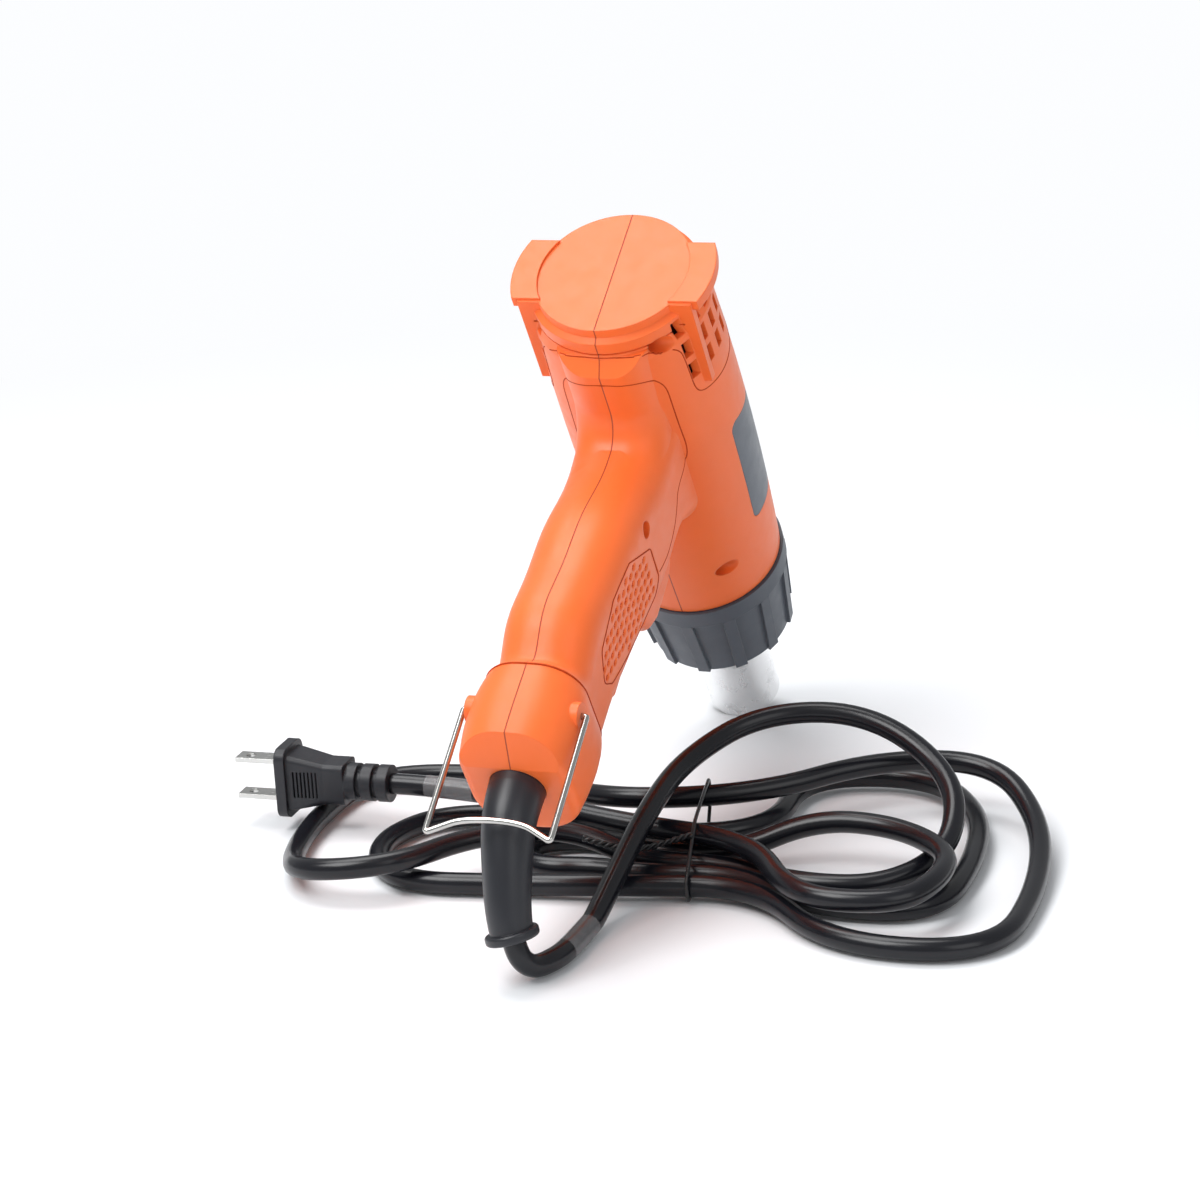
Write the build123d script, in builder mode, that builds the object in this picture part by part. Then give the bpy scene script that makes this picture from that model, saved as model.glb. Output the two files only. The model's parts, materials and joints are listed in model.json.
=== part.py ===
"""Compact pistol-grip heat tool, standing on its nozzle rim with its lead tied beside it.

The tool is drawn in its own frame, x forward along the barrel from the rear cap, y to its left and z up away
from the grip, and is then placed in its rest pose. Lengths are in millimetres and angles in degrees.
"""
from build123d import *
import math
import os

os.makedirs("parts", exist_ok=True)

# Rest pose
barrel_pitch = 57.0

# Shared fits
wall = 2.4
seat_gap = 0.1
running_gap = 0.05
part_gap = 0.3
overrun = 1.0

# Barrel
barrel_length = 134.5
cap_radius = 25.3
cap_depth = 3.0
cap_edge = 1.2
band_radius = 27.4
band_length = 9.0
barrel_rear_radius = 28.6
barrel_mid_radius = 29.6
barrel_front_radius = 27.4
barrel_shoulder = 4.0
spigot_length = 15.0
spigot_radius = 22.4
spigot_wall = 2.0

# Ears and rails at the rear cap
ear_reach = 33.0
ear_depth = 2.8
ear_height = 25.5
ear_lift = 0.8
ear_inset = 0.8
rail_length = 34.0
rail_height = 3.0
rail_reach = 28.5
rail_drop = 12.2

# Cooling slots
slot_length = 6.4
slot_height = 3.0
slot_pitch_along = 9.0
slot_pitch_around = 6.4
slot_start = 8.6
slot_centre_rise = -1.6
slot_column_drop = 15.4
slot_rows = 3
slot_columns = 3

# Rating panel
panel_length = 46.0
panel_start = 60.0
panel_height = 25.0
panel_rise = 3.0
panel_depth = 0.9
panel_corner = 3.0
panel_lean = 4.5

# Grip
grip_length = 132.0
grip_width = 32.0
grip_depth = 46.0
grip_back = 26.5
neck_drop = 22.0

# Saddle that carries the grip's neck along the underside of the barrel
saddle_start = 9.5
saddle_ramp = 5.0
saddle_drop = 31.8
saddle_back = 39.9
saddle_foot = 52.0
saddle_width = 30.8
saddle_round = 11.5
saddle_valley = 10.0

# Heel block under the grip
heel_width = 35.4
heel_depth = 43.2
heel_height = 31.0
heel_back = 28.8
heel_bevel_start = 26.5
heel_bevel_reach = 12.4
heel_edge = 3.0
grip_corner_share = 0.42
heel_groove_depth = 0.6
heel_groove_height = 0.7

# Leaf-shaped grip pads
pad_thickness = 0.9
leaf_corner = 3.0

# Finger swell at the front of the grip
swell_half_width = 12.5
swell_corner = 3.5
swell_edge = 4.0

# Seam lines moulded into the shells
seam_width = 0.6
seam_depth = 0.5
band_seam = 8.2

# Screws that clamp the shells
screw_radius = 1.5
screw_head_radius = 2.7
screw_head_height = 1.8
screw_boss_radius = 3.3
screw_length = 15.0
screw_rear = (10.5, -20.5)
screw_neck = (48.0, -64.0)
screw_heel = (63.5, -143.5)
screw_front = (117.0, -21.5)

# Nose collar
collar_gap = 0.5
collar_length = 34.5
collar_flange_radius = 28.4
collar_flange_length = 7.0
collar_front_radius = 25.6
collar_rib_count = 12
collar_rib_width = 4.2
collar_rib_depth = 1.1
collar_lip = 3.0

# Nozzle
nozzle_tip_radius = 12.8
nozzle_root_radius = 15.2
nozzle_wall = 0.8
nozzle_length = 61.5
nozzle_straight = 23.0
nozzle_flange_radius = 21.6
nozzle_flange_depth = 1.2

# Heater
heat_tube_radius = 11.2
heat_tube_wall = 0.8
heat_tube_length = 92.0
former_radius = 8.2
former_plate = 0.8
former_length = 76.0
former_inset = 6.0
coil_radius = 8.95
coil_wire_radius = 0.5
coil_turns = 14
heater_mount_depth = 3.0
heater_mount_hole = 3.0
heater_mount_holes = 8
cutout_size = (8.0, 5.0, 3.0)

# Fan and motor
motor_radius = 12.5
motor_length = 30.0
motor_start = 54.0
shaft_radius = 1.2
shaft_overhang = 4.0
bush_radius = 3.6
bush_depth = 2.0
impeller_radius = 21.0
impeller_depth = 12.0
impeller_plate = 1.2
impeller_hub_radius = 4.0
impeller_blade = 1.0
impeller_blades = 10
impeller_start = 34.0
shroud_plate = 2.5
shroud_start = 49.5
shroud_sleeve_length = 22.0
shroud_sleeve_wall = 1.6
shroud_spokes = 4
shroud_spoke_width = 5.0

# Rectifier board
board_radius = 11.5
board_thickness = 1.6
diode_radius = 1.4
diode_length = 5.0
diode_count = 4
diode_ring = 8.0

# Switch in the front of the grip
switch_drop = 94.0
switch_face_share = 1.12
switch_height = 21.0
switch_width = 13.0
switch_body_depth = 20.0
switch_pad_margin = 2.2
switch_pad_proud = 1.2
switch_wall = 1.4
rocker_radius = 11.5
rocker_half_angle = 37.0
rocker_throw = 10.0
rocker_proud = 2.9
rocker_pin_radius = 1.2
terminal_size = (5.0, 0.8, 3.0)
wire_radius = 0.9
wire_spread = 1.9

# Cord and relief
cord_diameter = 7.0
relief_root_radius = 8.6
relief_tip_radius = 6.4
relief_ring_radius = 8.2
relief_ring_length = 3.0
relief_flange_radius = 11.0
relief_flange_depth = 2.5
relief_centre = 50.0
relief_straight = 3.0
relief_middle = (58.0, -1.2, -187.0)
relief_end = (71.2, -4.0, -202.4)
relief_end_direction = (0.75, -0.25, -0.61)
relief_section_count = 7

# Cord clamp inside the heel
clamp_drop = 149.0
clamp_height = 8.0
clamp_depth = 4.0
clamp_half_width = 9.5
clamp_screw_offset = 6.8
clamp_screw_radius = 1.2
clamp_screw_length = 9.0
clamp_screw_head_radius = 2.2
clamp_screw_head_height = 1.4
pad_depth = 9.0

# Wire bail
bail_wire_radius = 0.95
bail_pivot_x = 38.5
bail_pivot_drop = 144.0
bail_drop = 44.0
bail_half_width = 19.4
bail_rise = 6.0
bail_arch_share = 0.45
bail_arch_radius = 22.0
bail_lean = 1.5
bail_boss_radius = 4.2
bail_boss_reach = 17.8
bail_end = 4.2

# Cord on the floor, with its route in the rest pose
bend_step = 4.42
lead_route = [(-129.82, -6.99, 6.07), (-126.59, -9.15, 4.0), (-119.8, -12.3, 4.0)]
lead_last_run = 8.5
hank_middle = (-50.0, -30.0, 0.0)
hank_turn = -79.5
arc_run_share = 0.45
gap_reach_share = 3.6
gap_step_count = 16

# Plug on the cord's end
plug_relief_radius = 4.6
plug_relief_length = 15.0
plug_ring_radius = 6.2
plug_ring_length = 3.8
plug_ring_count = 3
plug_block_length = 7.0
plug_block_height = 14.0
plug_block_width = 12.0
plug_body_length = 12.5
plug_body_height = 19.5
plug_body_width = 14.0
plug_flange_depth = 3.5
plug_flange_height = 24.0
plug_flange_width = 17.0
plug_corner = 2.0
plug_bar_count = 7
plug_bar_pitch = 1.3
plug_bar_width = 0.5
plug_bar_length = 9.0
plug_bar_depth = 0.5
blade_pitch = 12.7
blade_width = 6.4
blade_thickness = 1.5
blade_length = 16.0
blade_root = 5.0
blade_hole_radius = 1.6
blade_hole_inset = 4.5
blade_round = 2.4

# Twist tie round the hank's waist
tie_wire_radius = 0.6
tie_tail_radius = 1.0
tie_along = 3.0
tie_corner = 2.5
tie_loop = [(-14.5, 0.65), (33.5, 0.65), (46.8, 11.0), (45.6, 18.6), (8.0, 18.6), (-18.2, 8.0)]
tie_tail = [(3.0, 1.0, 16.9), (-4.0, 1.0, 14.4), (-14.0, 1.0, 11.6), (-24.0, 1.8, 12.6), (-32.0, 4.0, 14.4)]

# Everything that follows is worked out from the values above
pitch = math.radians(barrel_pitch)
collar_start = barrel_length + collar_gap
collar_end = collar_start + collar_length
nozzle_start = barrel_length + spigot_length
nozzle_end = nozzle_start + nozzle_length
rest_height = nozzle_end * math.sin(pitch) + nozzle_tip_radius * math.cos(pitch)
barrel_bore = barrel_front_radius - wall
heel_bottom = grip_length + heel_height
heel_middle = heel_back + heel_depth / 2


def rest(shape):
    """Turn a finished piece from the tool's own frame to its rest pose."""
    turned = shape.rotate(Axis.Y, barrel_pitch)
    return turned.translate(Vector(0, 0, rest_height))


def rounded_section(centre, depth, width, drop, corner_share):
    """A section of the grip on a level plane below the barrel's axis."""
    with BuildSketch(Plane((centre, 0, -drop))) as section:
        RectangleRounded(depth, width, corner_share * min(depth, width))
    return section.sketch


def barrel_outline(inset):
    """The barrel's outline along its length, drawn inset from its surface."""
    with BuildLine(Plane.XZ) as outline:
        start = (inset, 0)
        cap_rim = (inset, cap_radius - inset)
        cap_root = (cap_depth, cap_radius - inset)
        band_start = (cap_depth + cap_edge, band_radius - inset)
        band_end = (band_length, band_radius - inset)
        shoulder = (band_length + barrel_shoulder, barrel_rear_radius - inset)
        middle = (barrel_length / 2, barrel_mid_radius - inset)
        front = (barrel_length, barrel_front_radius - inset)
        Polyline(start, cap_rim, cap_root, band_start, band_end, shoulder)
        ThreePointArc(shoulder, middle, front)
        Polyline(front, (barrel_length, 0), start)
    return outline.line


# Solid form of the grip, from the neck inside the barrel down to the heel
grip_level_shares = [neck_drop / grip_length, 0.235, 0.303, 0.379, 0.485, 0.606, 0.742, 0.879, 1.0]
grip_back_shares = [0.163, 0.261, 0.285, 0.272, 0.190, 0.126, 0.083, 0.057, 0.05]
grip_depth_shares = [1.261, 1.033, 0.933, 0.948, 1.02, 1.011, 0.991, 0.965, 0.939]
grip_width_shares = [1.05, 1.03, 1.02, 1.01, 1.0, 0.98, 0.95, 0.925, 0.93]
heel_level_shares = [0.0, 0.16, 0.8, 1.0]
heel_depth_shares = [1.0, 1.0, 1.0, 0.97]
heel_width_shares = [0.86, 0.985, 1.0, 0.94]
swell_shares = [(0.87, 0.33), (1.24, 0.345), (1.33, 0.40), (1.335, 0.52), (1.27, 0.57), (1.13, 0.605), (0.87, 0.61)]


def grip_sections(inset):
    """The level sections that the grip is lofted through."""
    rows = zip(grip_level_shares, grip_back_shares, grip_depth_shares, grip_width_shares)
    for level, back, depth, width in rows:
        full_depth = depth * grip_depth
        centre = grip_back + back * grip_depth + full_depth / 2
        yield rounded_section(centre, full_depth - 2 * inset, width * grip_width - 2 * inset,
                              level * grip_length, grip_corner_share)


def heel_sections(inset):
    """The level sections that the heel block is lofted through, its ends drawn in by the wall."""
    rows = zip(heel_level_shares, heel_depth_shares, heel_width_shares)
    for level, depth, width in rows:
        drop = grip_length + inset + level * (heel_height - 2 * inset)
        yield rounded_section(heel_middle, depth * heel_depth - 2 * inset, width * heel_width - 2 * inset,
                              drop, grip_corner_share)


with BuildPart() as grip_form:
    loft(sections=list(grip_sections(0)))

with BuildPart() as grip_hollow:
    loft(sections=list(grip_sections(wall)))

bevel_way = Vector(heel_bevel_start - heel_height, 0, -heel_bevel_reach).normalized()


def heel_bevel(inset):
    """The sloping plane that cuts the heel's lower rear corner, moved inwards by an inset."""
    corner = Vector(heel_back, 0, -grip_length - heel_bevel_start)
    return Plane(origin=corner - bevel_way * inset, z_dir=bevel_way)


with BuildPart() as heel_form:
    loft(sections=list(heel_sections(0)))
    fillet(heel_form.faces().sort_by(Axis.Z)[0].edges(), heel_edge)
    split(bisect_by=heel_bevel(0), keep=Keep.BOTTOM)

with BuildPart() as heel_hollow:
    loft(sections=list(heel_sections(wall)))
    split(bisect_by=heel_bevel(wall / 2), keep=Keep.BOTTOM)
    with BuildSketch(Plane((heel_middle, 0, -grip_length - 2 * wall))) as throat:
        RectangleRounded(heel_depth / 2, heel_width / 2, wall)
    extrude(amount=3 * wall)

with BuildPart() as barrel_form:
    with BuildSketch(Plane.XZ) as barrel_face:
        add(barrel_outline(0))
        make_face()
    revolve(axis=Axis.X)


switch_face = grip_back + switch_pad_proud + grip_depth * switch_face_share
screw_places = [screw_rear, screw_neck, screw_heel, screw_front]
screw_seat = screw_length / 2
side_reach = ear_reach + overrun


def across(x, z, half):
    """A plane facing the tool's right side, half a width to the left of its middle."""
    return Plane(origin=(x, half, z), x_dir=(1, 0, 0), z_dir=(0, -1, 0))


# Swell that the first finger rests on
with BuildPart() as finger_swell:
    with BuildSketch(across(0, 0, swell_half_width)) as swell_face:
        with BuildLine():
            Polyline(*[(grip_back + back * grip_depth, -down * grip_length) for back, down in swell_shares],
                     close=True)
        make_face()
        fillet(swell_face.vertices(), swell_corner)
    extrude(amount=2 * swell_half_width)
    fillet(finger_swell.faces().filter_by(Axis.Y).edges(), swell_edge)

# Saddle between the barrel and the grip, its sides rounded like the grip's
saddle_half = saddle_width / 2

with BuildPart() as saddle:
    with BuildSketch(across(0, 0, saddle_half)) as saddle_face:
        with BuildLine():
            saddle_line = [(saddle_start, -neck_drop / 2), (saddle_start, -saddle_drop),
                           (saddle_back, -saddle_drop), (saddle_back, -saddle_foot),
                           (grip_back + grip_depth, -saddle_foot), (grip_back + grip_depth, -neck_drop / 2)]
            Polyline(*saddle_line, close=True)
        make_face()
        valley = saddle_face.vertices().sort_by_distance((saddle_back, -saddle_drop))[0]
        fillet(valley, saddle_valley)
    extrude(amount=2 * saddle_half)
    along_sides = [edge for edge in saddle.edges()
                   if abs(edge.center().Y) > saddle_half - running_gap
                   and saddle_start + running_gap < edge.center().X < saddle_back + running_gap
                   and -saddle_foot + running_gap < edge.center().Z < -saddle_drop + running_gap]
    fillet(along_sides, saddle_round)
    with BuildSketch(across(0, 0, saddle_half)) as ramp_face:
        Polygon((saddle_start, -saddle_drop), (saddle_start + saddle_ramp, -saddle_drop),
                (saddle_start, -saddle_drop + saddle_ramp), align=None)
    extrude(amount=2 * saddle_half, mode=Mode.SUBTRACT)

# Outer form of the housing
with BuildPart() as housing_form:
    add(barrel_form.part)
    add(saddle.part)
    add(grip_form.part)
    add(heel_form.part)
    with BuildSketch(Plane.YZ.offset(-ear_lift)) as ear_face:
        Circle(ear_reach)
        Rectangle(2 * ear_reach, ear_height, mode=Mode.INTERSECT)
        Circle(cap_radius - ear_inset, mode=Mode.SUBTRACT)
    extrude(amount=ear_depth + ear_lift)
    with BuildSketch(Plane.YZ) as rail_section:
        with Locations((0, -rail_drop)):
            Rectangle(2 * rail_reach, rail_height)
        Circle(barrel_bore, mode=Mode.SUBTRACT)
    extrude(amount=rail_length)
    with BuildSketch(Plane.YZ.offset(switch_face)) as pad_face:
        with Locations((0, -switch_drop)):
            RectangleRounded(switch_width + 2 * switch_pad_margin, switch_height + 2 * switch_pad_margin,
                             switch_pad_margin)
    extrude(amount=-switch_pad_margin - wall)
    with BuildSketch(across(bail_pivot_x, -bail_pivot_drop, bail_boss_reach)) as lug_face:
        Circle(bail_boss_radius)
    extrude(amount=2 * bail_boss_reach)
    add(finger_swell.part)

# A thin layer at the barrel's surface, from which the rating panels are cut
with BuildPart() as barrel_layer:
    add(barrel_form.part)
    with BuildSketch(Plane.XZ) as inner_face:
        add(barrel_outline(panel_depth))
        make_face()
    revolve(axis=Axis.X, mode=Mode.SUBTRACT)


def panel_outline(margin):
    """The rating panel's outline, its rear edge leaning, drawn in by a margin."""
    low = panel_rise - panel_height / 2 + margin
    high = panel_rise + panel_height / 2 - margin
    near = panel_start + margin
    far = panel_start + panel_length - margin
    with BuildSketch(across(0, 0, side_reach)) as outline:
        with BuildLine():
            Polyline((near, low), (far, low), (far, high), (near + panel_lean, high), (near, low))
        make_face()
        fillet(outline.vertices(), panel_corner)
    return outline.sketch


with BuildPart() as panel_recess:
    add(barrel_layer.part)
    extrude(panel_outline(0), amount=2 * side_reach, mode=Mode.INTERSECT)

with BuildPart() as panel_pair:
    add(barrel_layer.part)
    extrude(panel_outline(seat_gap), amount=2 * side_reach, mode=Mode.INTERSECT)

with BuildPart() as label_left:
    add(panel_pair.part)
    split(bisect_by=Plane.XZ, keep=Keep.BOTTOM)

with BuildPart() as label_right:
    add(panel_pair.part)
    split(bisect_by=Plane.XZ, keep=Keep.TOP)

# Leaf-shaped pads seated in the grip's surface
leaf_shares = [(0.62, 0.495), (0.891, 0.495), (0.985, 0.545), (0.95, 0.636), (0.855, 0.75), (0.739, 0.871),
               (0.62, 0.905), (0.402, 0.867), (0.322, 0.742), (0.37, 0.614)]

with BuildPart() as grip_layer:
    loft(sections=list(grip_sections(0)))
    loft(sections=list(grip_sections(pad_thickness)), mode=Mode.SUBTRACT)


def leaf_face(margin):
    """The pad's outline in the tool's side view, drawn in by a margin."""
    with BuildSketch(across(0, 0, side_reach)) as outline:
        with BuildLine():
            Polyline(*[(grip_back + back * grip_depth, -down * grip_length) for back, down in leaf_shares],
                     close=True)
        make_face()
        fillet(outline.vertices(), leaf_corner)
        offset(amount=-margin)
    return outline.sketch


with BuildPart() as leaf_recess:
    add(grip_layer.part)
    extrude(leaf_face(0), amount=2 * side_reach, mode=Mode.INTERSECT)

with BuildPart() as leaf_pads:
    add(grip_layer.part)
    extrude(leaf_face(seat_gap), amount=2 * side_reach, mode=Mode.INTERSECT)

with BuildPart() as grip_pad_left:
    add(leaf_pads.part)
    split(bisect_by=Plane.XZ, keep=Keep.BOTTOM)

with BuildPart() as grip_pad_right:
    add(leaf_pads.part)
    split(bisect_by=Plane.XZ, keep=Keep.TOP)

# Bosses and clamp pads, cut to the housing's outer form
with BuildPart() as housing_bosses:
    add(housing_form.part)
    with BuildSketch(across(0, 0, side_reach)) as boss_faces:
        with Locations(*screw_places):
            Circle(screw_boss_radius)
    extrude(amount=2 * side_reach, mode=Mode.INTERSECT)

clamp_face = relief_centre - cord_diameter / 2 + part_gap
pad_inner = cord_diameter / 2 + part_gap

with BuildPart() as clamp_pads:
    add(housing_form.part)
    with BuildSketch(across(0, 0, side_reach)) as pad_faces:
        with Locations((clamp_face + pad_depth / 2, -clamp_drop)):
            Rectangle(pad_depth, clamp_height)
    extrude(amount=2 * side_reach, mode=Mode.INTERSECT)
    with BuildSketch(across(0, 0, pad_inner)) as pad_throat:
        with Locations((clamp_face + pad_depth / 2, -clamp_drop)):
            Rectangle(pad_depth + overrun, clamp_height + overrun)
    extrude(amount=2 * pad_inner, mode=Mode.SUBTRACT)
    with BuildSketch(Plane.YZ.offset(clamp_face - overrun)) as clamp_pilots:
        with Locations((0, -clamp_drop)):
            with GridLocations(2 * clamp_screw_offset, 0, 2, 1):
                Circle(clamp_screw_radius + running_gap)
    extrude(amount=clamp_screw_length, mode=Mode.SUBTRACT)

# The whole housing, before it is parted
with BuildPart() as housing:
    add(housing_form.part)
    with BuildSketch(Plane.XZ) as bore_face:
        add(barrel_outline(wall))
        make_face()
    revolve(axis=Axis.X, mode=Mode.SUBTRACT)
    add(grip_hollow.part, mode=Mode.SUBTRACT)
    add(heel_hollow.part, mode=Mode.SUBTRACT)
    add(housing_bosses.part)
    add(clamp_pads.part)
    with BuildSketch(Plane.YZ.offset(barrel_length - wall)) as nose_ring:
        Circle(barrel_front_radius - wall / 2)
        Circle(spigot_radius - spigot_wall, mode=Mode.SUBTRACT)
    extrude(amount=wall)
    with BuildSketch(Plane.YZ.offset(barrel_length)) as spigot_ring:
        Circle(spigot_radius)
        Circle(spigot_radius - spigot_wall, mode=Mode.SUBTRACT)
    extrude(amount=spigot_length)
    add(panel_recess.part, mode=Mode.SUBTRACT)
    add(leaf_recess.part, mode=Mode.SUBTRACT)
    with BuildSketch(Plane.YZ.offset(band_seam)) as band_ring:
        Circle(band_radius + overrun)
        Circle(band_radius - seam_depth, mode=Mode.SUBTRACT)
        Rectangle(2 * side_reach, 2 * band_radius, align=(Align.CENTER, Align.MIN), mode=Mode.SUBTRACT)
    extrude(amount=seam_width, mode=Mode.SUBTRACT)
    with BuildSketch(Plane((heel_middle, 0, -grip_length - heel_groove_height / 2))) as heel_ring:
        RectangleRounded(heel_depth + 2 * overrun, heel_width + 2 * overrun, wall)
        groove_depth = grip_depth_shares[-1] * grip_depth - 2 * heel_groove_depth
        groove_width = grip_width_shares[-1] * grip_width - 2 * heel_groove_depth
        with Locations((grip_back + grip_back_shares[-1] * grip_depth + groove_depth / 2 - heel_middle
                        + heel_groove_depth, 0)):
            RectangleRounded(groove_depth, groove_width, grip_corner_share * groove_width, mode=Mode.SUBTRACT)
    extrude(amount=heel_groove_height, mode=Mode.SUBTRACT)
    with BuildSketch(across(0, 0, side_reach)) as slot_faces:
        slot_middle = slot_start + slot_pitch_along * (slot_columns - 1) / 2
        with Locations((slot_middle, slot_centre_rise)):
            with GridLocations(slot_pitch_along, slot_pitch_around, slot_columns, slot_rows):
                Rectangle(slot_length, slot_height)
        with Locations((slot_middle, -slot_column_drop)):
            with GridLocations(slot_pitch_along, slot_pitch_around, slot_columns, 1):
                Rectangle(slot_length, slot_height)
    extrude(amount=2 * side_reach, mode=Mode.SUBTRACT)
    with BuildSketch(across(0, 0, -screw_seat)) as counterbores:
        with Locations(*screw_places):
            Circle(screw_head_radius + seat_gap)
    extrude(amount=side_reach, mode=Mode.SUBTRACT)
    with BuildSketch(across(0, 0, screw_seat + overrun)) as pilots:
        with Locations(*screw_places):
            Circle(screw_radius + running_gap)
    extrude(amount=screw_length + 2 * overrun, mode=Mode.SUBTRACT)
    with BuildSketch(Plane.YZ.offset(switch_face + overrun)) as switch_opening:
        with Locations((0, -switch_drop)):
            Rectangle(switch_width + 2 * seat_gap, switch_height + 2 * seat_gap)
    extrude(amount=-switch_body_depth - 2 * overrun, mode=Mode.SUBTRACT)
    with BuildSketch(Plane((relief_centre, 0, -heel_bottom - overrun))) as relief_opening:
        Circle(relief_root_radius + seat_gap)
    extrude(amount=2 * wall, mode=Mode.SUBTRACT)
    for side in (1, -1):
        with BuildSketch(Plane(origin=(bail_pivot_x, side * (bail_boss_reach + overrun), -bail_pivot_drop),
                               x_dir=(1, 0, 0), z_dir=(0, -side, 0))) as pivot_hole:
            Circle(bail_wire_radius + running_gap)
        extrude(amount=bail_end + overrun, mode=Mode.SUBTRACT)


with BuildPart() as housing_left:
    add(housing.part)
    split(bisect_by=Plane.XZ, keep=Keep.BOTTOM)

with BuildPart() as housing_right:
    add(housing.part)
    split(bisect_by=Plane.XZ, keep=Keep.TOP)

# Nose collar, a plain flange and a ribbed skirt that draws in towards the front
collar_bore = spigot_radius + seat_gap
collar_mouth = nozzle_root_radius + part_gap
flange_end = collar_start + collar_flange_length
skirt_root = collar_flange_radius - collar_rib_depth
skirt_front = collar_front_radius - collar_rib_depth


def ribbed_circle(start, radius):
    """A circle with a rib at each step around it, on a plane across the barrel."""
    with BuildSketch(Plane.YZ.offset(start)) as ring:
        Circle(radius)
        with PolarLocations(radius, collar_rib_count):
            Rectangle(2 * collar_rib_depth, collar_rib_width)
    return ring.sketch


with BuildPart() as nose_collar:
    loft(sections=[ribbed_circle(flange_end, skirt_root), ribbed_circle(collar_end, skirt_front)], ruled=True)
    with BuildSketch(Plane.YZ.offset(collar_start)) as flange_face:
        Circle(collar_flange_radius)
    extrude(amount=collar_flange_length)
    with BuildSketch(Plane.YZ.offset(collar_start)) as bore_face:
        Circle(collar_bore)
    extrude(amount=collar_length - collar_lip, mode=Mode.SUBTRACT)
    with BuildSketch(Plane.YZ.offset(collar_start)) as mouth_face:
        Circle(collar_mouth)
    extrude(amount=collar_length + overrun, mode=Mode.SUBTRACT)

# Steel nozzle, with the flange that the collar traps against the spigot
nozzle_flange_start = nozzle_start
nozzle_cone_end = nozzle_end - nozzle_straight
nozzle_cone_start = collar_end - collar_lip

with BuildPart() as nozzle:
    with BuildSketch(Plane.XZ) as nozzle_face:
        with BuildLine():
            inner_root = nozzle_root_radius - nozzle_wall
            inner_tip = nozzle_tip_radius - nozzle_wall
            flange_front = nozzle_flange_start + nozzle_flange_depth
            Polyline((nozzle_flange_start, inner_root), (nozzle_flange_start, nozzle_flange_radius),
                     (flange_front, nozzle_flange_radius), (flange_front, nozzle_root_radius),
                     (nozzle_cone_start, nozzle_root_radius), (nozzle_cone_end, nozzle_tip_radius),
                     (nozzle_end, nozzle_tip_radius), (nozzle_end, inner_tip), (nozzle_cone_end, inner_tip),
                     (nozzle_cone_start, inner_root), (nozzle_flange_start, inner_root))
        make_face()
    revolve(axis=Axis.X)

# Heater, a mica tube on a carrier plate with a cross-shaped former and its wire inside
heat_tube_end = nozzle_end - former_inset
heat_tube_start = heat_tube_end - heat_tube_length
former_end = heat_tube_end - former_inset
former_start = former_end - former_length
former_bore = heat_tube_radius - heat_tube_wall
mount_start = heat_tube_start - heater_mount_depth
mount_radius = barrel_bore - part_gap

with BuildPart() as heat_tube:
    with BuildSketch(Plane.YZ.offset(heat_tube_start)) as tube_ring:
        Circle(heat_tube_radius)
        Circle(former_bore, mode=Mode.SUBTRACT)
    extrude(amount=heat_tube_length)

with BuildPart() as heater_mount:
    with BuildSketch(Plane.YZ.offset(mount_start)) as mount_face:
        Circle(mount_radius)
        Circle(former_bore - overrun, mode=Mode.SUBTRACT)
        with PolarLocations((mount_radius + heat_tube_radius) / 2, heater_mount_holes):
            Circle(heater_mount_hole, mode=Mode.SUBTRACT)
    extrude(amount=heater_mount_depth)

with BuildPart() as heater_former:
    with BuildSketch(Plane.YZ.offset(mount_start)) as former_cross:
        Rectangle(2 * former_radius, former_plate)
        Rectangle(former_plate, 2 * former_radius)
    extrude(amount=former_end - mount_start)

with BuildPart() as heater_coil:
    with BuildLine() as coil_path:
        Helix(former_length / coil_turns, former_length - 2 * former_inset, coil_radius,
              center=(former_start + former_inset, 0, 0), direction=(1, 0, 0))
    with BuildSketch(Plane(origin=coil_path.line @ 0, z_dir=coil_path.line % 0)) as coil_section:
        Circle(coil_wire_radius)
    sweep(is_frenet=True)

with BuildPart() as thermal_cutout:
    with BuildSketch(Plane.YZ.offset(mount_start)) as cutout_face:
        with Locations((0, -(mount_radius + heat_tube_radius) / 2)):
            Rectangle(cutout_size[1], cutout_size[2])
    extrude(amount=-cutout_size[0])

# Motor with its bushes, its shaft and the fan behind it
motor_end = motor_start + motor_length
shaft_start = impeller_start - shaft_overhang
shaft_end = motor_end + shaft_overhang
bush_bore = shaft_radius + running_gap

with BuildPart() as motor:
    with BuildSketch(Plane.YZ.offset(motor_start)) as can_face:
        Circle(motor_radius)
        Circle(bush_radius, mode=Mode.SUBTRACT)
    extrude(amount=motor_length)

with BuildPart() as motor_bushes:
    for bush_start in (motor_start, motor_end - bush_depth):
        with BuildSketch(Plane.YZ.offset(bush_start)) as bush_face:
            Circle(bush_radius)
            Circle(bush_bore, mode=Mode.SUBTRACT)
        extrude(amount=bush_depth)

with BuildPart() as motor_shaft:
    with BuildSketch(Plane.YZ.offset(shaft_start)) as shaft_face:
        Circle(shaft_radius)
    extrude(amount=shaft_end - shaft_start)

with BuildPart() as fan_impeller:
    with BuildSketch(Plane.YZ.offset(impeller_start)) as plate_face:
        Circle(impeller_radius)
    extrude(amount=impeller_plate)
    with BuildSketch(Plane.YZ.offset(impeller_start)) as hub_face:
        Circle(impeller_hub_radius)
    extrude(amount=impeller_depth)
    with BuildSketch(Plane.YZ.offset(impeller_start)) as blade_faces:
        blade_reach = impeller_radius - impeller_hub_radius / 2
        with PolarLocations(blade_reach / 2 + impeller_hub_radius / 2, impeller_blades):
            Rectangle(blade_reach, impeller_blade)
    extrude(amount=impeller_depth)
    with BuildSketch(Plane.YZ.offset(impeller_start)) as impeller_bore:
        Circle(shaft_radius)
    extrude(amount=impeller_depth, mode=Mode.SUBTRACT)

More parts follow.
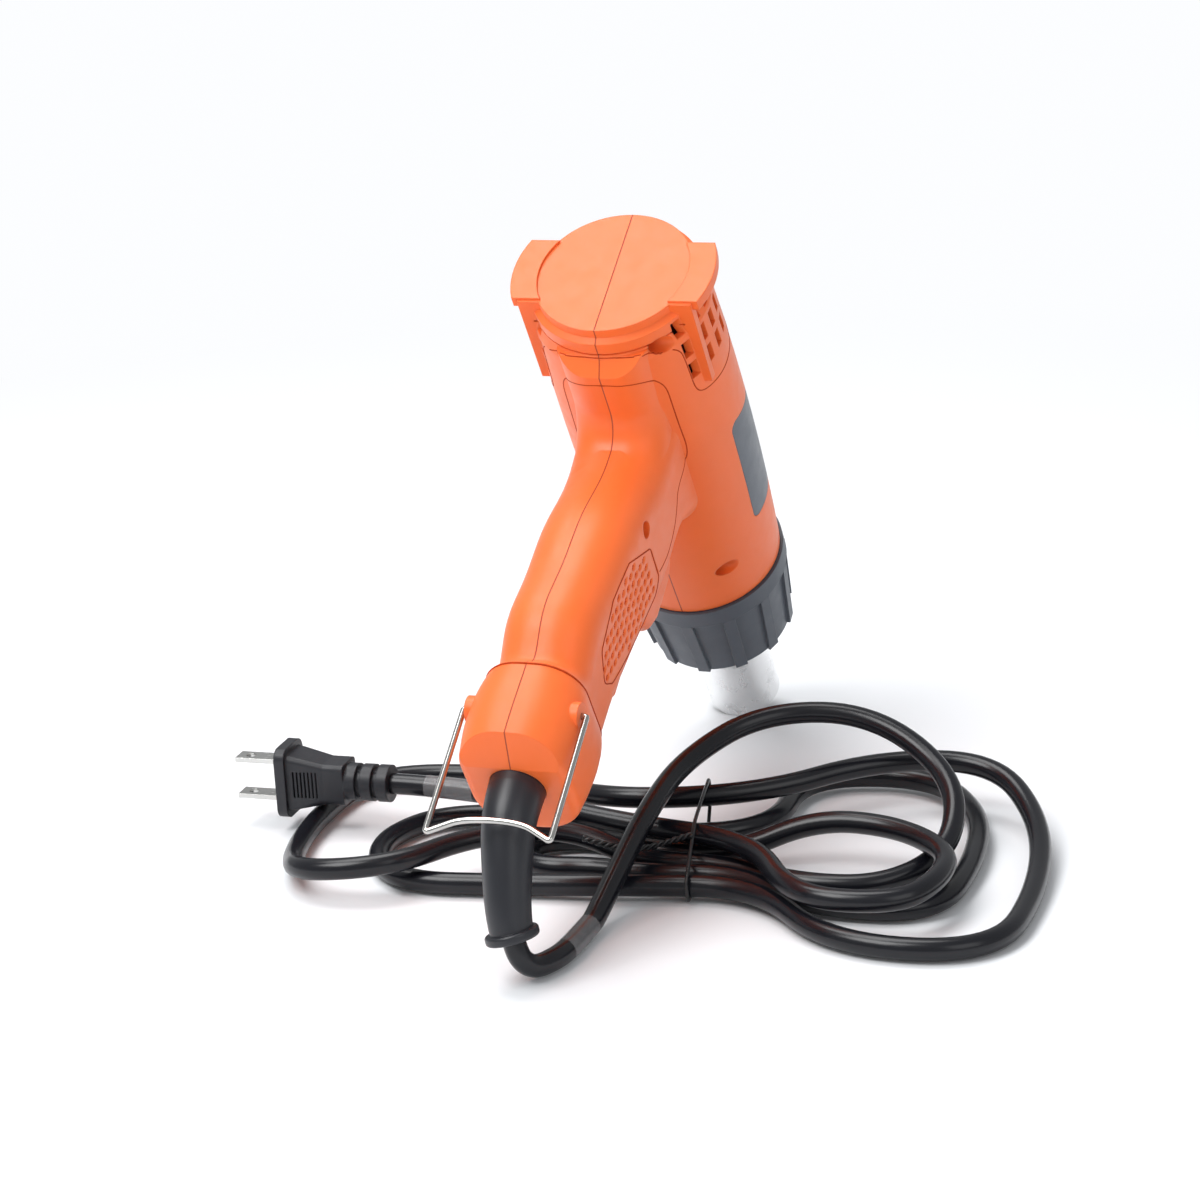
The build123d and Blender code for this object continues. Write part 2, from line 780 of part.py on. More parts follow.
shroud_radius = barrel_rear_radius - wall - part_gap
sleeve_bore = motor_radius + seat_gap

with BuildPart() as fan_shroud:
    with BuildSketch(Plane.YZ.offset(shroud_start)) as shroud_ring:
        Circle(shroud_radius)
        Circle(shroud_radius - 2 * shroud_plate, mode=Mode.SUBTRACT)
    extrude(amount=shroud_plate)
    with BuildSketch(Plane.YZ.offset(shroud_start)) as spoke_face:
        spoke_length = shroud_radius - shroud_plate - sleeve_bore
        with PolarLocations(sleeve_bore + spoke_length / 2, shroud_spokes):
            Rectangle(spoke_length, shroud_spoke_width)
        Circle(sleeve_bore + shroud_sleeve_wall)
        Circle(bush_radius, mode=Mode.SUBTRACT)
    extrude(amount=shroud_plate)
    with BuildSketch(Plane.YZ.offset(shroud_start)) as sleeve_ring:
        Circle(sleeve_bore + shroud_sleeve_wall)
        Circle(sleeve_bore, mode=Mode.SUBTRACT)
    extrude(amount=shroud_sleeve_length)

with BuildPart() as rectifier_board:
    with BuildSketch(Plane.YZ.offset(motor_end)) as board_face:
        Circle(board_radius)
        Circle(bush_radius, mode=Mode.SUBTRACT)
    extrude(amount=board_thickness)
    with BuildSketch(Plane.YZ.offset(motor_end + board_thickness)) as diode_faces:
        with PolarLocations(diode_ring, diode_count):
            Circle(diode_radius)
    extrude(amount=diode_length)

# Rocker switch in the front of the grip
switch_pivot = switch_face - rocker_radius + rocker_proud
cavity_radius = rocker_radius + part_gap
cavity_half_width = switch_width / 2 - switch_wall
rocker_half_width = cavity_half_width - part_gap


def rocker_wedge(radius, half_angle, half_width):
    """A sector about the rocker's pivot, and the plane that it is extruded from."""
    rim = 2 * radius
    rise = rim * math.tan(math.radians(half_angle))
    with BuildSketch(across(switch_pivot, -switch_drop, half_width)) as wedge:
        Circle(radius)
        Polygon((0, 0), (rim, -rise), (rim, rise), align=None, mode=Mode.INTERSECT)
        Circle(2 * rocker_pin_radius)
    return wedge.sketch


with BuildPart() as switch_rocker:
    extrude(rocker_wedge(rocker_radius, rocker_half_angle, rocker_half_width), amount=2 * rocker_half_width)
    with BuildSketch(across(switch_pivot, -switch_drop, switch_width / 2 - part_gap)) as rocker_pin:
        Circle(rocker_pin_radius)
    extrude(amount=switch_width - 2 * part_gap)

with BuildPart() as switch_body:
    with BuildSketch(Plane.YZ.offset(switch_face)) as body_face:
        with Locations((0, -switch_drop)):
            Rectangle(switch_width, switch_height)
    extrude(amount=-switch_body_depth)
    cavity = rocker_wedge(cavity_radius + overrun, rocker_half_angle + rocker_throw + overrun,
                          cavity_half_width)
    extrude(cavity, amount=2 * cavity_half_width, mode=Mode.SUBTRACT)
    with BuildSketch(across(switch_pivot, -switch_drop, cavity_half_width)) as hub_room:
        Circle(2 * rocker_pin_radius + part_gap)
    extrude(amount=2 * cavity_half_width, mode=Mode.SUBTRACT)
    with BuildSketch(across(switch_pivot, -switch_drop, switch_width / 2 + overrun)) as pin_hole:
        Circle(rocker_pin_radius + running_gap)
    extrude(amount=switch_width + 2 * overrun, mode=Mode.SUBTRACT)
    with BuildSketch(Plane.YZ.offset(switch_face - switch_body_depth)) as terminal_faces:
        with Locations((0, -switch_drop)):
            with GridLocations(0, switch_height / 3, 1, 3):
                Rectangle(terminal_size[1], terminal_size[2])
    extrude(amount=-terminal_size[0])

# Housing screws, all driven from the right side
with BuildPart() as housing_screws:
    with BuildSketch(across(0, 0, screw_seat)) as shank_faces:
        with Locations(*screw_places):
            Circle(screw_radius)
    extrude(amount=screw_length)
    with BuildSketch(across(0, 0, -screw_seat)) as head_faces:
        with Locations(*screw_places):
            Circle(screw_head_radius)
    extrude(amount=screw_head_height)
    with BuildSketch(across(0, 0, -screw_seat - screw_head_height)) as drive_faces:
        with Locations(*screw_places):
            Rectangle(2 * screw_radius, screw_head_height / 3)
            Rectangle(screw_head_height / 3, 2 * screw_radius)
    extrude(amount=-screw_head_height / 2, mode=Mode.SUBTRACT)

# Cord tail, clamp and wires inside the heel
relief_floor = heel_bottom - wall - part_gap
tail_top = clamp_drop - 2 * clamp_height
clamp_back = clamp_face - clamp_depth

with BuildPart() as cord_tail:
    with BuildSketch(Plane((relief_centre, 0, -relief_floor + relief_flange_depth))) as tail_face:
        Circle(cord_diameter / 2)
    extrude(amount=relief_floor - relief_flange_depth - tail_top)

with BuildPart() as cord_clamp:
    with BuildSketch(Plane.YZ.offset(clamp_face - part_gap)) as clamp_bar:
        with Locations((0, -clamp_drop)):
            Rectangle(2 * clamp_half_width, clamp_height - overrun)
            with GridLocations(2 * clamp_screw_offset, 0, 2, 1):
                Circle(clamp_screw_radius + seat_gap, mode=Mode.SUBTRACT)
    extrude(amount=-clamp_depth)

with BuildPart() as clamp_screws:
    with BuildSketch(Plane.YZ.offset(clamp_face - part_gap - clamp_depth)) as clamp_shanks:
        with Locations((0, -clamp_drop)):
            with GridLocations(2 * clamp_screw_offset, 0, 2, 1):
                Circle(clamp_screw_radius)
    extrude(amount=clamp_screw_length)
    with BuildSketch(Plane.YZ.offset(clamp_face - part_gap - clamp_depth)) as clamp_heads:
        with Locations((0, -clamp_drop)):
            with GridLocations(2 * clamp_screw_offset, 0, 2, 1):
                Circle(clamp_screw_head_radius)
    extrude(amount=-clamp_screw_head_height)

# Wire bail, pivoting in the two lugs
bail_tip_drop = bail_pivot_drop + bail_drop

with BuildPart() as wire_bail:
    with BuildLine() as bail_line:
        corner_x = bail_pivot_x + bail_lean
        end_y = bail_boss_reach - bail_end + running_gap
        arch_y = bail_arch_share * bail_half_width
        corner_radius = 1.5 * bail_wire_radius
        FilletPolyline((bail_pivot_x, end_y, -bail_pivot_drop),
                       (bail_pivot_x, bail_half_width, -bail_pivot_drop),
                       (corner_x, bail_half_width, -bail_tip_drop),
                       (corner_x, arch_y, -bail_tip_drop + bail_rise),
                       (corner_x, -arch_y, -bail_tip_drop + bail_rise),
                       (corner_x, -bail_half_width, -bail_tip_drop),
                       (bail_pivot_x, -bail_half_width, -bail_pivot_drop),
                       (bail_pivot_x, -end_y, -bail_pivot_drop),
                       radius=[corner_radius, corner_radius, bail_arch_radius, bail_arch_radius,
                               corner_radius, corner_radius])
    with BuildSketch(Plane(origin=bail_line.line @ 0, z_dir=bail_line.line % 0)) as bail_section:
        Circle(bail_wire_radius)
    sweep()

# Wires from the cord to the switch and from the switch to the motor
switch_rear = switch_face - switch_body_depth
wire_entry = (switch_rear + switch_face) / 2 - 2 * wire_radius
wire_bend = 3 * wire_radius
switch_low = switch_drop + switch_height / 2
switch_high = switch_drop - switch_height / 2
board_middle = motor_end + board_thickness / 2
neck_place = (board_middle - 5 * wire_bend, -barrel_bore - 6 * wire_bend)


def wire_pair(points):
    """Two wires side by side along one route, given as places along and below the barrel."""
    with BuildPart() as pair:
        for side in (1, -1):
            with BuildLine() as route:
                FilletPolyline(*[(x, side * wire_spread, z) for x, z in points], radius=wire_bend)
            with BuildSketch(Plane(origin=route.line @ 0, z_dir=route.line % 0)) as wire_section:
                Circle(wire_radius)
            sweep(path=route.line)
    return pair


supply_wires = wire_pair([(relief_centre, -tail_top), (relief_centre, -tail_top + 2 * wire_bend),
                          (wire_entry, -switch_low - 3 * wire_bend), (wire_entry, -switch_low)])
motor_wires = wire_pair([(wire_entry, -switch_high), (wire_entry, -switch_high + 3 * wire_bend),
                         neck_place, (board_middle, -board_radius - 2 * wire_bend),
                         (board_middle, -board_radius)])

# Rubber strain relief, a flange inside the heel and a tapering sleeve that droops from it
with BuildLine() as relief_line:
    Spline((relief_centre, 0, -heel_bottom - relief_straight), relief_middle, relief_end,
           tangents=[(0, 0, -1), relief_end_direction])

relief_steps = [step / (relief_section_count - 1) for step in range(relief_section_count)]
relief_taper = relief_root_radius - relief_tip_radius
ring_plane = Plane(origin=relief_line.line @ 1, z_dir=relief_line.line % 1)


def relief_section(share):
    """The sleeve's round section at a share of its drooping length."""
    place = Plane(origin=relief_line.line @ share, z_dir=relief_line.line % share)
    with BuildSketch(place) as section:
        Circle(relief_root_radius - share * relief_taper)
    return section.sketch


with BuildPart() as strain_relief:
    with BuildSketch(Plane((relief_centre, 0, -relief_floor))) as flange_plan:
        Circle(relief_flange_radius)
    extrude(amount=relief_flange_depth)
    with BuildSketch(Plane((relief_centre, 0, -relief_floor))) as sleeve_plan:
        Circle(relief_root_radius)
    extrude(amount=relief_floor - heel_bottom - relief_straight)
    loft(sections=[relief_section(share) for share in relief_steps])
    with BuildSketch(ring_plane) as ring_plan:
        Circle(relief_ring_radius)
    extrude(amount=-relief_ring_length)
    ring_edges = strain_relief.edges().filter_by(GeomType.CIRCLE)
    rims = [edge for edge in ring_edges if abs(edge.radius - relief_ring_radius) < running_gap]
    fillet(rims, relief_ring_length / 3)

# Lead from the relief to the hank, bent down onto the floor and then along it
def standing_place(x, y, z):
    """A place in the tool's own frame, given in the rest pose before the tool is centred."""
    return Vector(x * math.cos(pitch) + z * math.sin(pitch), y,
                  rest_height - x * math.sin(pitch) + z * math.cos(pitch))


def floor_heading(heading, climb):
    """The direction that has a heading from the hank's long axis and a climb from the floor."""
    turn = math.radians(hank_turn + heading)
    level = math.cos(math.radians(climb))
    return Vector(level * math.cos(turn), level * math.sin(turn), math.sin(math.radians(climb)))


def hank_place(along, away, height):
    """A place in the hank, along it, away from its near side and above the floor."""
    return (Vector(*hank_middle) + floor_heading(0, 0) * along + floor_heading(90, 0) * away
            + Vector(0, 0, height))


# Places that the hank's turns pass, each with its heading and its climb
hank_route = [
    (-24.1, -43.2, 4.0, 78, 0), (-22.0, -35.0, 5.6, 76, 22), (-8.0, 20.0, 25.2, 75, 11),
    (36.0, 60.0, 36.0, 1, 0), (83.0, 22.0, 14.0, -90, -24), (50.0, -8.0, 3.9, 177, 0),
    (0.0, 6.4, 5.0, 177, 1), (-52.0, 14.0, 12.8, 194, 0), (-106.0, -14.0, 11.0, 180, -4),
    (-129.0, 26.0, 3.9, 90, 0), (-98.0, 86.0, 4.6, 0, 0),
    (-2.0, 41.0, 14.0, 6, 0), (76.0, 66.0, 17.0, 0, 0), (110.0, 16.0, 6.0, -90, -6),
    (74.0, -56.0, 3.9, 174, 0),
    (0.0, -11.6, 5.0, 180, 0), (-76.0, -8.0, 3.9, 177, 0), (-101.0, 20.0, 3.9, 90, 0),
    (-74.0, 50.0, 3.9, 0, 0),
    (0.0, 31.5, 5.0, 6, 0), (54.0, 84.0, 4.6, 0, 0), (90.0, 32.0, 4.4, -90, 0),
    (60.0, -26.5, 3.9, 174, 0),
    (0.0, -2.9, 5.0, 180, 0), (-40.0, 5.0, 4.0, 180, 0), (-53.0, 17.5, 4.0, 90, 0),
    (-40.0, 28.5, 4.0, 0, 0),
    (0.0, 15.0, 5.1, 0, 0), (54.0, 15.0, 15.4, -14, 0), (82.0, -20.0, 14.4, -96, 0),
    (60.0, -42.0, 12.8, 171, 0),
    (0.0, 12.0, 13.2, 162, 0), (-95.08, 44.9, 16.5, 171, 0),
]
hank_stops = [hank_place(*stop[:3]) for stop in hank_route]
hank_ways = [floor_heading(*stop[3:]) for stop in hank_route]
hank_entry = hank_stops[0] - hank_ways[0] * cord_diameter
hank_exit = hank_stops[-1] + hank_ways[-1] * cord_diameter

relief_foot = standing_place(*(relief_line.line @ 1))
relief_way = (relief_line.line % 1).rotate(Axis.Y, barrel_pitch)
lead_points = [relief_foot, relief_foot + relief_way * bend_step]
lead_points += [Vector(*place) for place in lead_route]
lead_points += [hank_entry - hank_ways[0] * lead_last_run, hank_entry]
lead_runs = [after - before for before, after in zip(lead_points, lead_points[1:])]
lead_radii = []
for before, after in zip(lead_runs, lead_runs[1:]):
    half_turn = math.radians(before.get_angle(after)) / 2
    lead_radii.append(arc_run_share * min(before.length, after.length) / math.tan(half_turn))

with BuildPart() as cord_lead:
    with BuildLine() as lead_line:
        FilletPolyline(*lead_points, radius=lead_radii)
    with BuildSketch(Plane(origin=lead_line.line @ 0, z_dir=lead_line.line % 0)) as lead_section:
        Circle(cord_diameter / 2)
    sweep()


def biarc_joint(start, start_way, end, end_way):
    """Where two arcs meet that leave one place and reach the next in the headings given."""
    chord = end - start
    square = 2 * (1 - start_way.dot(end_way))
    cross = 2 * chord.dot(start_way + end_way)
    lever = 2 * chord.dot(chord) / (cross + math.sqrt(cross ** 2 + 4 * square * chord.dot(chord)))
    joint = (start + end + (start_way - end_way) * lever) / 2
    return joint, (end - end_way * lever - start - start_way * lever).normalized()


# Hank, one unbroken tube of tangent arcs from the lead to the plug
with BuildPart() as cord_hank:
    with BuildLine() as hank_line:
        Line(hank_entry, hank_stops[0])
        for start, start_way, end, end_way in zip(hank_stops, hank_ways, hank_stops[1:], hank_ways[1:]):
            joint, joint_way = biarc_joint(start, start_way, end, end_way)
            TangentArc(start, joint, tangent=start_way)
            TangentArc(joint, end, tangent=joint_way)
        Line(hank_stops[-1], hank_exit)
    with BuildSketch(Plane(origin=hank_entry, z_dir=hank_ways[0])) as hank_section:
        Circle(cord_diameter / 2)
    sweep()

# Plug, drawn along its axis from the cord's end to the blades
plug_way = hank_ways[-1]
relief_reach = plug_relief_length
block_reach = relief_reach + plug_block_length
body_reach = block_reach + plug_body_length
flange_reach = body_reach + plug_flange_depth


def plug_plane(reach):
    """A plane across the plug, with its x direction upwards."""
    return Plane(origin=hank_exit + plug_way * reach, x_dir=(0, 0, 1), z_dir=plug_way)


def blade_outline(reach, room):
    """The two blades' sections on a plane across the plug."""
    with BuildSketch(plug_plane(reach)) as outline:
        with GridLocations(blade_pitch, 0, 2, 1):
            Rectangle(blade_thickness + 2 * room, blade_width + 2 * room)
    return outline.sketch


with BuildPart() as plug_body:
    with BuildSketch(plug_plane(0)) as plug_core:
        Circle(plug_relief_radius)
    extrude(amount=plug_relief_length)
    ring_pitch = (plug_relief_length - plug_ring_length) / (plug_ring_count - 1)
    for ring in range(plug_ring_count):
        with BuildSketch(plug_plane(ring * ring_pitch)) as plug_ring:
            Circle(plug_ring_radius)
        extrude(amount=plug_ring_length)
    with BuildSketch(plug_plane(0)) as plug_bridge:
        Rectangle(2 * plug_relief_radius, plug_relief_radius)
        Circle(plug_ring_radius, mode=Mode.INTERSECT)
    extrude(amount=plug_relief_length)
    with BuildSketch(plug_plane(relief_reach)) as plug_block:
        RectangleRounded(plug_block_height, plug_block_width, plug_corner)
    extrude(amount=plug_block_length)
    with BuildSketch(plug_plane(block_reach)) as body_rear:
        RectangleRounded(plug_block_height, plug_block_width, plug_corner)
    with BuildSketch(plug_plane(body_reach)) as body_front:
        RectangleRounded(plug_body_height, plug_body_width, plug_corner)
    loft(sections=[body_rear.sketch, body_front.sketch])
    with BuildSketch(plug_plane(body_reach)) as plug_flange:
        RectangleRounded(plug_flange_height, plug_flange_width, 2 * plug_corner)
    extrude(amount=plug_flange_depth)
    for side in (1, -1):
        bar_floor = plug_block_width / 2 - plug_bar_depth
        bar_across = (plug_way.cross(Vector(0, 0, 1))) * side
        bar_middle = hank_exit + plug_way * (block_reach + plug_body_length / 2) + bar_across * bar_floor
        with BuildSketch(Plane(origin=bar_middle, x_dir=plug_way, z_dir=bar_across)) as plug_bars:
            with GridLocations(plug_bar_pitch, 0, plug_bar_count, 1):
                Rectangle(plug_bar_width, plug_bar_length)
        extrude(amount=plug_body_width / 2, mode=Mode.SUBTRACT)
    extrude(blade_outline(flange_reach, 0), amount=-blade_root, mode=Mode.SUBTRACT)

with BuildPart() as plug_blades:
    extrude(blade_outline(flange_reach - blade_root, 0), amount=blade_length + blade_root)
    blade_tip = hank_exit + plug_way * (flange_reach + blade_length)
    with BuildSketch(Plane(origin=blade_tip - plug_way * blade_hole_inset, x_dir=plug_way,
                           z_dir=(0, 0, 1))) as blade_holes:
        Circle(blade_hole_radius)
    extrude(amount=blade_pitch, both=True, mode=Mode.SUBTRACT)

# Twist tie, a wire loop round the waist and its twisted tail
with BuildPart() as twist_tie:
    with BuildLine() as tie_line:
        FilletPolyline(*[hank_place(tie_along, away, height) for away, height in tie_loop],
                       radius=tie_corner, close=True)
    with BuildSketch(Plane(origin=tie_line.line @ 0, z_dir=tie_line.line % 0)) as tie_section:
        Circle(tie_wire_radius)
    sweep()
    with BuildLine() as tail_line:
        FilletPolyline(*[hank_place(*place) for place in tie_tail], radius=2 * tie_corner)
    with BuildSketch(Plane(origin=tail_line.line @ 0, z_dir=tail_line.line % 0)) as tail_section:
        Circle(tie_tail_radius)
    sweep(path=tail_line.line)

pieces = {
    "housing_left": housing_left, "housing_right": housing_right, "label_left": label_left,
    "label_right": label_right, "grip_pad_left": grip_pad_left, "grip_pad_right": grip_pad_right,
    "nose_collar": nose_collar, "nozzle": nozzle,
    "heat_tube": heat_tube,
    "heater_mount": heater_mount, "heater_former": heater_former, "heater_coil": heater_coil,
    "thermal_cutout": thermal_cutout, "motor": motor, "motor_bushes": motor_bushes,
    "motor_shaft": motor_shaft, "fan_impeller": fan_impeller, "fan_shroud": fan_shroud,
    "rectifier_board": rectifier_board, "switch_body": switch_body, "switch_rocker": switch_rocker,
    "housing_screws": housing_screws, "cord_tail": cord_tail, "cord_clamp": cord_clamp,
    "clamp_screws": clamp_screws, "supply_wires": supply_wires, "motor_wires": motor_wires,
    "wire_bail": wire_bail, "strain_relief": strain_relief,
}
floor_pieces = {
    "cord_lead": cord_lead, "cord_hank": cord_hank, "plug_body": plug_body, "plug_blades": plug_blades,
    "twist_tie": twist_tie,
}

# Stand the tool in its rest pose, with the middle of its plan at the origin
standing = {name: rest(piece.part) for name, piece in pieces.items()}
own_boxes = [shape.bounding_box() for name, shape in standing.items() if name != "strain_relief"]
plan_shift = -(min(box.min.X for box in own_boxes) + max(box.max.X for box in own_boxes)) / 2
standing.update({name: piece.part for name, piece in floor_pieces.items()})

for name, shape in standing.items():
    placed = shape.translate(Vector(plan_shift, 0, 0))
    placed.label = name
    export_step(placed, f"parts/{name}.step")
    box = placed.bounding_box()
    print(f"{name:18s} solids {len(placed.solids())} volume {placed.volume:9.1f}",
          f"x {box.min.X:.1f} to {box.max.X:.1f}, y {box.min.Y:.1f} to {box.max.Y:.1f},",
          f"z {box.min.Z:.2f} to {box.max.Z:.1f}")


def rest_point(x, y, z):
    """A place in the tool's own frame, given in the finished part."""
    place = standing_place(x, y, z)
    return (round(place.X + plan_shift, 3), round(place.Y, 3), round(place.Z, 3))


print("plan shift", round(plan_shift, 3), "rest height", round(rest_height, 3))
print("bail pivot", rest_point(bail_pivot_x, 0, -bail_pivot_drop))
print("rocker pivot", rest_point(switch_pivot, 0, -switch_drop))
print("fan axis", rest_point(impeller_start, 0, 0))
print("nozzle tip", rest_point(nozzle_end, 0, 0), "rear cap", rest_point(0, 0, 0))
print("barrel direction", round(math.cos(pitch), 4), round(-math.sin(pitch), 4))

# The cord's own measures
section_area = math.pi * (cord_diameter / 2) ** 2
lead_length = sum(edge.length for edge in lead_line.edges())
hank_length = sum(edge.length for edge in hank_line.edges())
print("lead radii", [round(radius, 1) for radius in lead_radii], "length", round(lead_length, 1),
      "volume share", round(cord_lead.part.volume / (section_area * lead_length), 4))
hank_arcs = hank_line.edges().filter_by(GeomType.CIRCLE)
print("hank arcs", len(hank_arcs), "least radius", round(min(arc.radius for arc in hank_arcs), 1),
      "length", round(hank_length, 1),
      "volume share", round(cord_hank.part.volume / (section_area * hank_length), 4))
samples = []
travelled = 0
for edge in hank_line.edges():
    for step in range(gap_step_count):
        share = step / gap_step_count
        samples.append((travelled + share * edge.length, (edge @ share).to_tuple()))
    travelled += edge.length
reach = gap_reach_share * cord_diameter
least = min(math.dist(one, other) for i, (here, one) in enumerate(samples) for there, other in samples[i + 1:]
            if there - here > reach)
print("hank's least gap to itself", round(least - cord_diameter, 2))
print("hank's lowest point", round(min(place[2] for _, place in samples) - cord_diameter / 2, 2))
print("plug entry", (hank_exit + Vector(plan_shift, 0, 0)).to_tuple(), "plug way", plug_way.to_tuple())
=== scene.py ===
"""Compact pistol-grip heat tool on a pale floor, with its lead tied in a hank beside it."""
import bpy
import bmesh
import json
import math
import random
from mathutils import Matrix, Vector
from mathutils.bvhtree import BVHTree


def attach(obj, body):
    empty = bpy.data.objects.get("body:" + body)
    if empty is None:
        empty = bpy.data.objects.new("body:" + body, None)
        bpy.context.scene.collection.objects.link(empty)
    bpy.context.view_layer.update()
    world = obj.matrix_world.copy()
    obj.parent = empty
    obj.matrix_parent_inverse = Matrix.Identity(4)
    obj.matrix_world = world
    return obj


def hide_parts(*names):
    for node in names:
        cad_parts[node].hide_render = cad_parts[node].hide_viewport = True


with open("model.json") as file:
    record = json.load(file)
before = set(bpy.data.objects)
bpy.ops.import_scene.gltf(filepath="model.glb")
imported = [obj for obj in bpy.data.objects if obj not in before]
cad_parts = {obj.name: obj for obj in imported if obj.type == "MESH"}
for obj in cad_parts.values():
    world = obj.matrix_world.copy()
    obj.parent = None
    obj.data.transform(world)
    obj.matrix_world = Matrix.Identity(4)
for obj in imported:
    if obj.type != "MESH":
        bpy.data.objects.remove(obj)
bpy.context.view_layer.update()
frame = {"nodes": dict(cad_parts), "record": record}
random.seed(11)
MM = 0.001
NODES = frame["nodes"]

# The tool's own frame in the rest pose, x forward along the barrel and z up from the grip
PITCH = math.radians(57.0)
SHIFT = 5.169
HIGH = 183.931


def tool(x, y, z):
    """A place in the tool's own frame, in metres where it stands."""
    along = x * math.cos(PITCH) + z * math.sin(PITCH) + SHIFT
    return Vector((along, y, HIGH - x * math.sin(PITCH) + z * math.cos(PITCH))) * MM


def tool_way(x, y, z):
    """A direction in the tool's own frame, where it stands."""
    return Vector((x * math.cos(PITCH) + z * math.sin(PITCH), y, -x * math.sin(PITCH) + z * math.cos(PITCH)))


# Camera at the photograph's angle
CAMERA_PLACE = (-0.9769, -0.3488, 0.4078)
camera_data = bpy.data.cameras.new("camera")
camera_data.lens = 102.0
camera_data.sensor_width = 36.0
camera_data.clip_start = 0.05
camera_data.clip_end = 40.0
camera = bpy.data.objects.new("camera", camera_data)
bpy.context.collection.objects.link(camera)
right_way = Vector((0.3266, -0.9435, -0.0560))
up_way = Vector((0.3038, 0.0487, 0.9515))
back_way = right_way.cross(up_way).normalized()
right_way.normalize()
up_way = back_way.cross(right_way)
camera.matrix_world = Matrix((
    (right_way.x, up_way.x, back_way.x, CAMERA_PLACE[0]),
    (right_way.y, up_way.y, back_way.y, CAMERA_PLACE[1]),
    (right_way.z, up_way.z, back_way.z, CAMERA_PLACE[2]),
    (0, 0, 0, 1)))
bpy.context.scene.camera = camera


# Materials
class Graph:
    """A material's nodes, added one call at a time."""

    def __init__(self, name):
        self.material = bpy.data.materials.new(name)
        self.material.use_nodes = True
        self.tree = self.material.node_tree
        self.shader = self.tree.nodes["Principled BSDF"]
        self.output = self.tree.nodes["Material Output"]
        self.place = self.add("ShaderNodeTexCoord").outputs["Object"]

    def add(self, kind, links=(), **sockets):
        """Adds a node, sets its properties or its sockets' values, and links its inputs."""
        node = self.tree.nodes.new(kind)
        for key, value in sockets.items():
            if hasattr(node, key):
                setattr(node, key, value)
            else:
                node.inputs[key.replace("_", " ")].default_value = value
        for name, source in dict(links).items():
            self.tree.links.new(source, node.inputs[name])
        return node

    def link(self, source, target):
        """Joins one node's output to another's input."""
        self.tree.links.new(source, target)

    def noise(self, scale, detail=3.0, roughness=0.5, place=None):
        """Soft noise with so many swells to the metre."""
        node = self.add("ShaderNodeTexNoise", {"Vector": place or self.place})
        node.inputs["Scale"].default_value = scale
        node.inputs["Detail"].default_value = detail
        node.inputs["Roughness"].default_value = roughness
        return node.outputs["Fac"]

    def spread(self, source, low, high, start=0.3, end=0.7):
        """Maps a value between start and end onto low to high."""
        node = self.add("ShaderNodeMapRange", {"Value": source})
        node.inputs["From Min"].default_value = start
        node.inputs["From Max"].default_value = end
        node.inputs["To Min"].default_value = low
        node.inputs["To Max"].default_value = high
        return node.outputs["Result"]

    def mix(self, factor, one, two):
        """Blends two colours."""
        node = self.add("ShaderNodeMix", data_type="RGBA")
        for socket, value in ((node.inputs[0], factor), (node.inputs[6], one), (node.inputs[7], two)):
            if isinstance(value, bpy.types.NodeSocket):
                self.tree.links.new(value, socket)
            else:
                socket.default_value = (*value, 1.0) if isinstance(value, tuple) else value
        return node.outputs[2]

    def calc(self, operation, one, two=None):
        """The result of one sum on one or two values."""
        node = self.add("ShaderNodeMath", operation=operation)
        for socket, value in zip(node.inputs, (one, two)):
            if isinstance(value, bpy.types.NodeSocket):
                self.tree.links.new(value, socket)
            elif value is not None:
                socket.default_value = value
        return node.outputs[0]

    def bump(self, height, distance, strength=1.0, after=None):
        """A normal tilted by a height, on top of another normal if there is one."""
        node = self.add("ShaderNodeBump", {"Height": height})
        node.inputs["Distance"].default_value = distance
        node.inputs["Strength"].default_value = strength
        if after is not None:
            self.tree.links.new(after, node.inputs["Normal"])
        return node.outputs["Normal"]


def shade(colour, factor):
    """A colour made darker or lighter by a factor."""
    return tuple(min(1.0, channel * factor) for channel in colour)


def surface(name, colour, rough, grain=0.0, grain_scale=2600.0, metal=0.0, specular=0.5, tint=0.06, edge=0.0004,
            coat=0.0, stretch=None, vary=0.05):
    """A moulded or drawn surface with mottled colour, uneven gloss, fine grain and eased edges."""
    graph = Graph(name)
    place = graph.place
    if stretch:
        place = graph.add("ShaderNodeMapping", {"Vector": graph.place}, Scale=stretch).outputs["Vector"]
    cloud = graph.noise(38.0, 4.0, place=place)
    graph.link(graph.mix(graph.spread(cloud, 0.0, 1.0), shade(colour, 1 - tint), shade(colour, 1 + tint)),
               graph.shader.inputs["Base Color"])
    blotch = graph.noise(210.0, 3.0, place=place)
    graph.link(graph.spread(blotch, max(0.02, rough - vary), rough + vary), graph.shader.inputs["Roughness"])
    normal = graph.add("ShaderNodeBevel", samples=6, Radius=edge).outputs["Normal"] if edge else None
    if grain:
        normal = graph.bump(graph.noise(grain_scale, 2.0, 0.6, place), grain, 0.6, normal)
    if normal is not None:
        graph.link(normal, graph.shader.inputs["Normal"])
    graph.shader.inputs["Metallic"].default_value = metal
    graph.shader.inputs["Specular IOR Level"].default_value = specular
    if coat:
        graph.shader.inputs["Coat Weight"].default_value = coat
        graph.shader.inputs["Coat Roughness"].default_value = 0.25
    return graph


ORANGE = (0.94, 0.160, 0.026)
PARTING_EDGES = (0.00012, 0.00026)


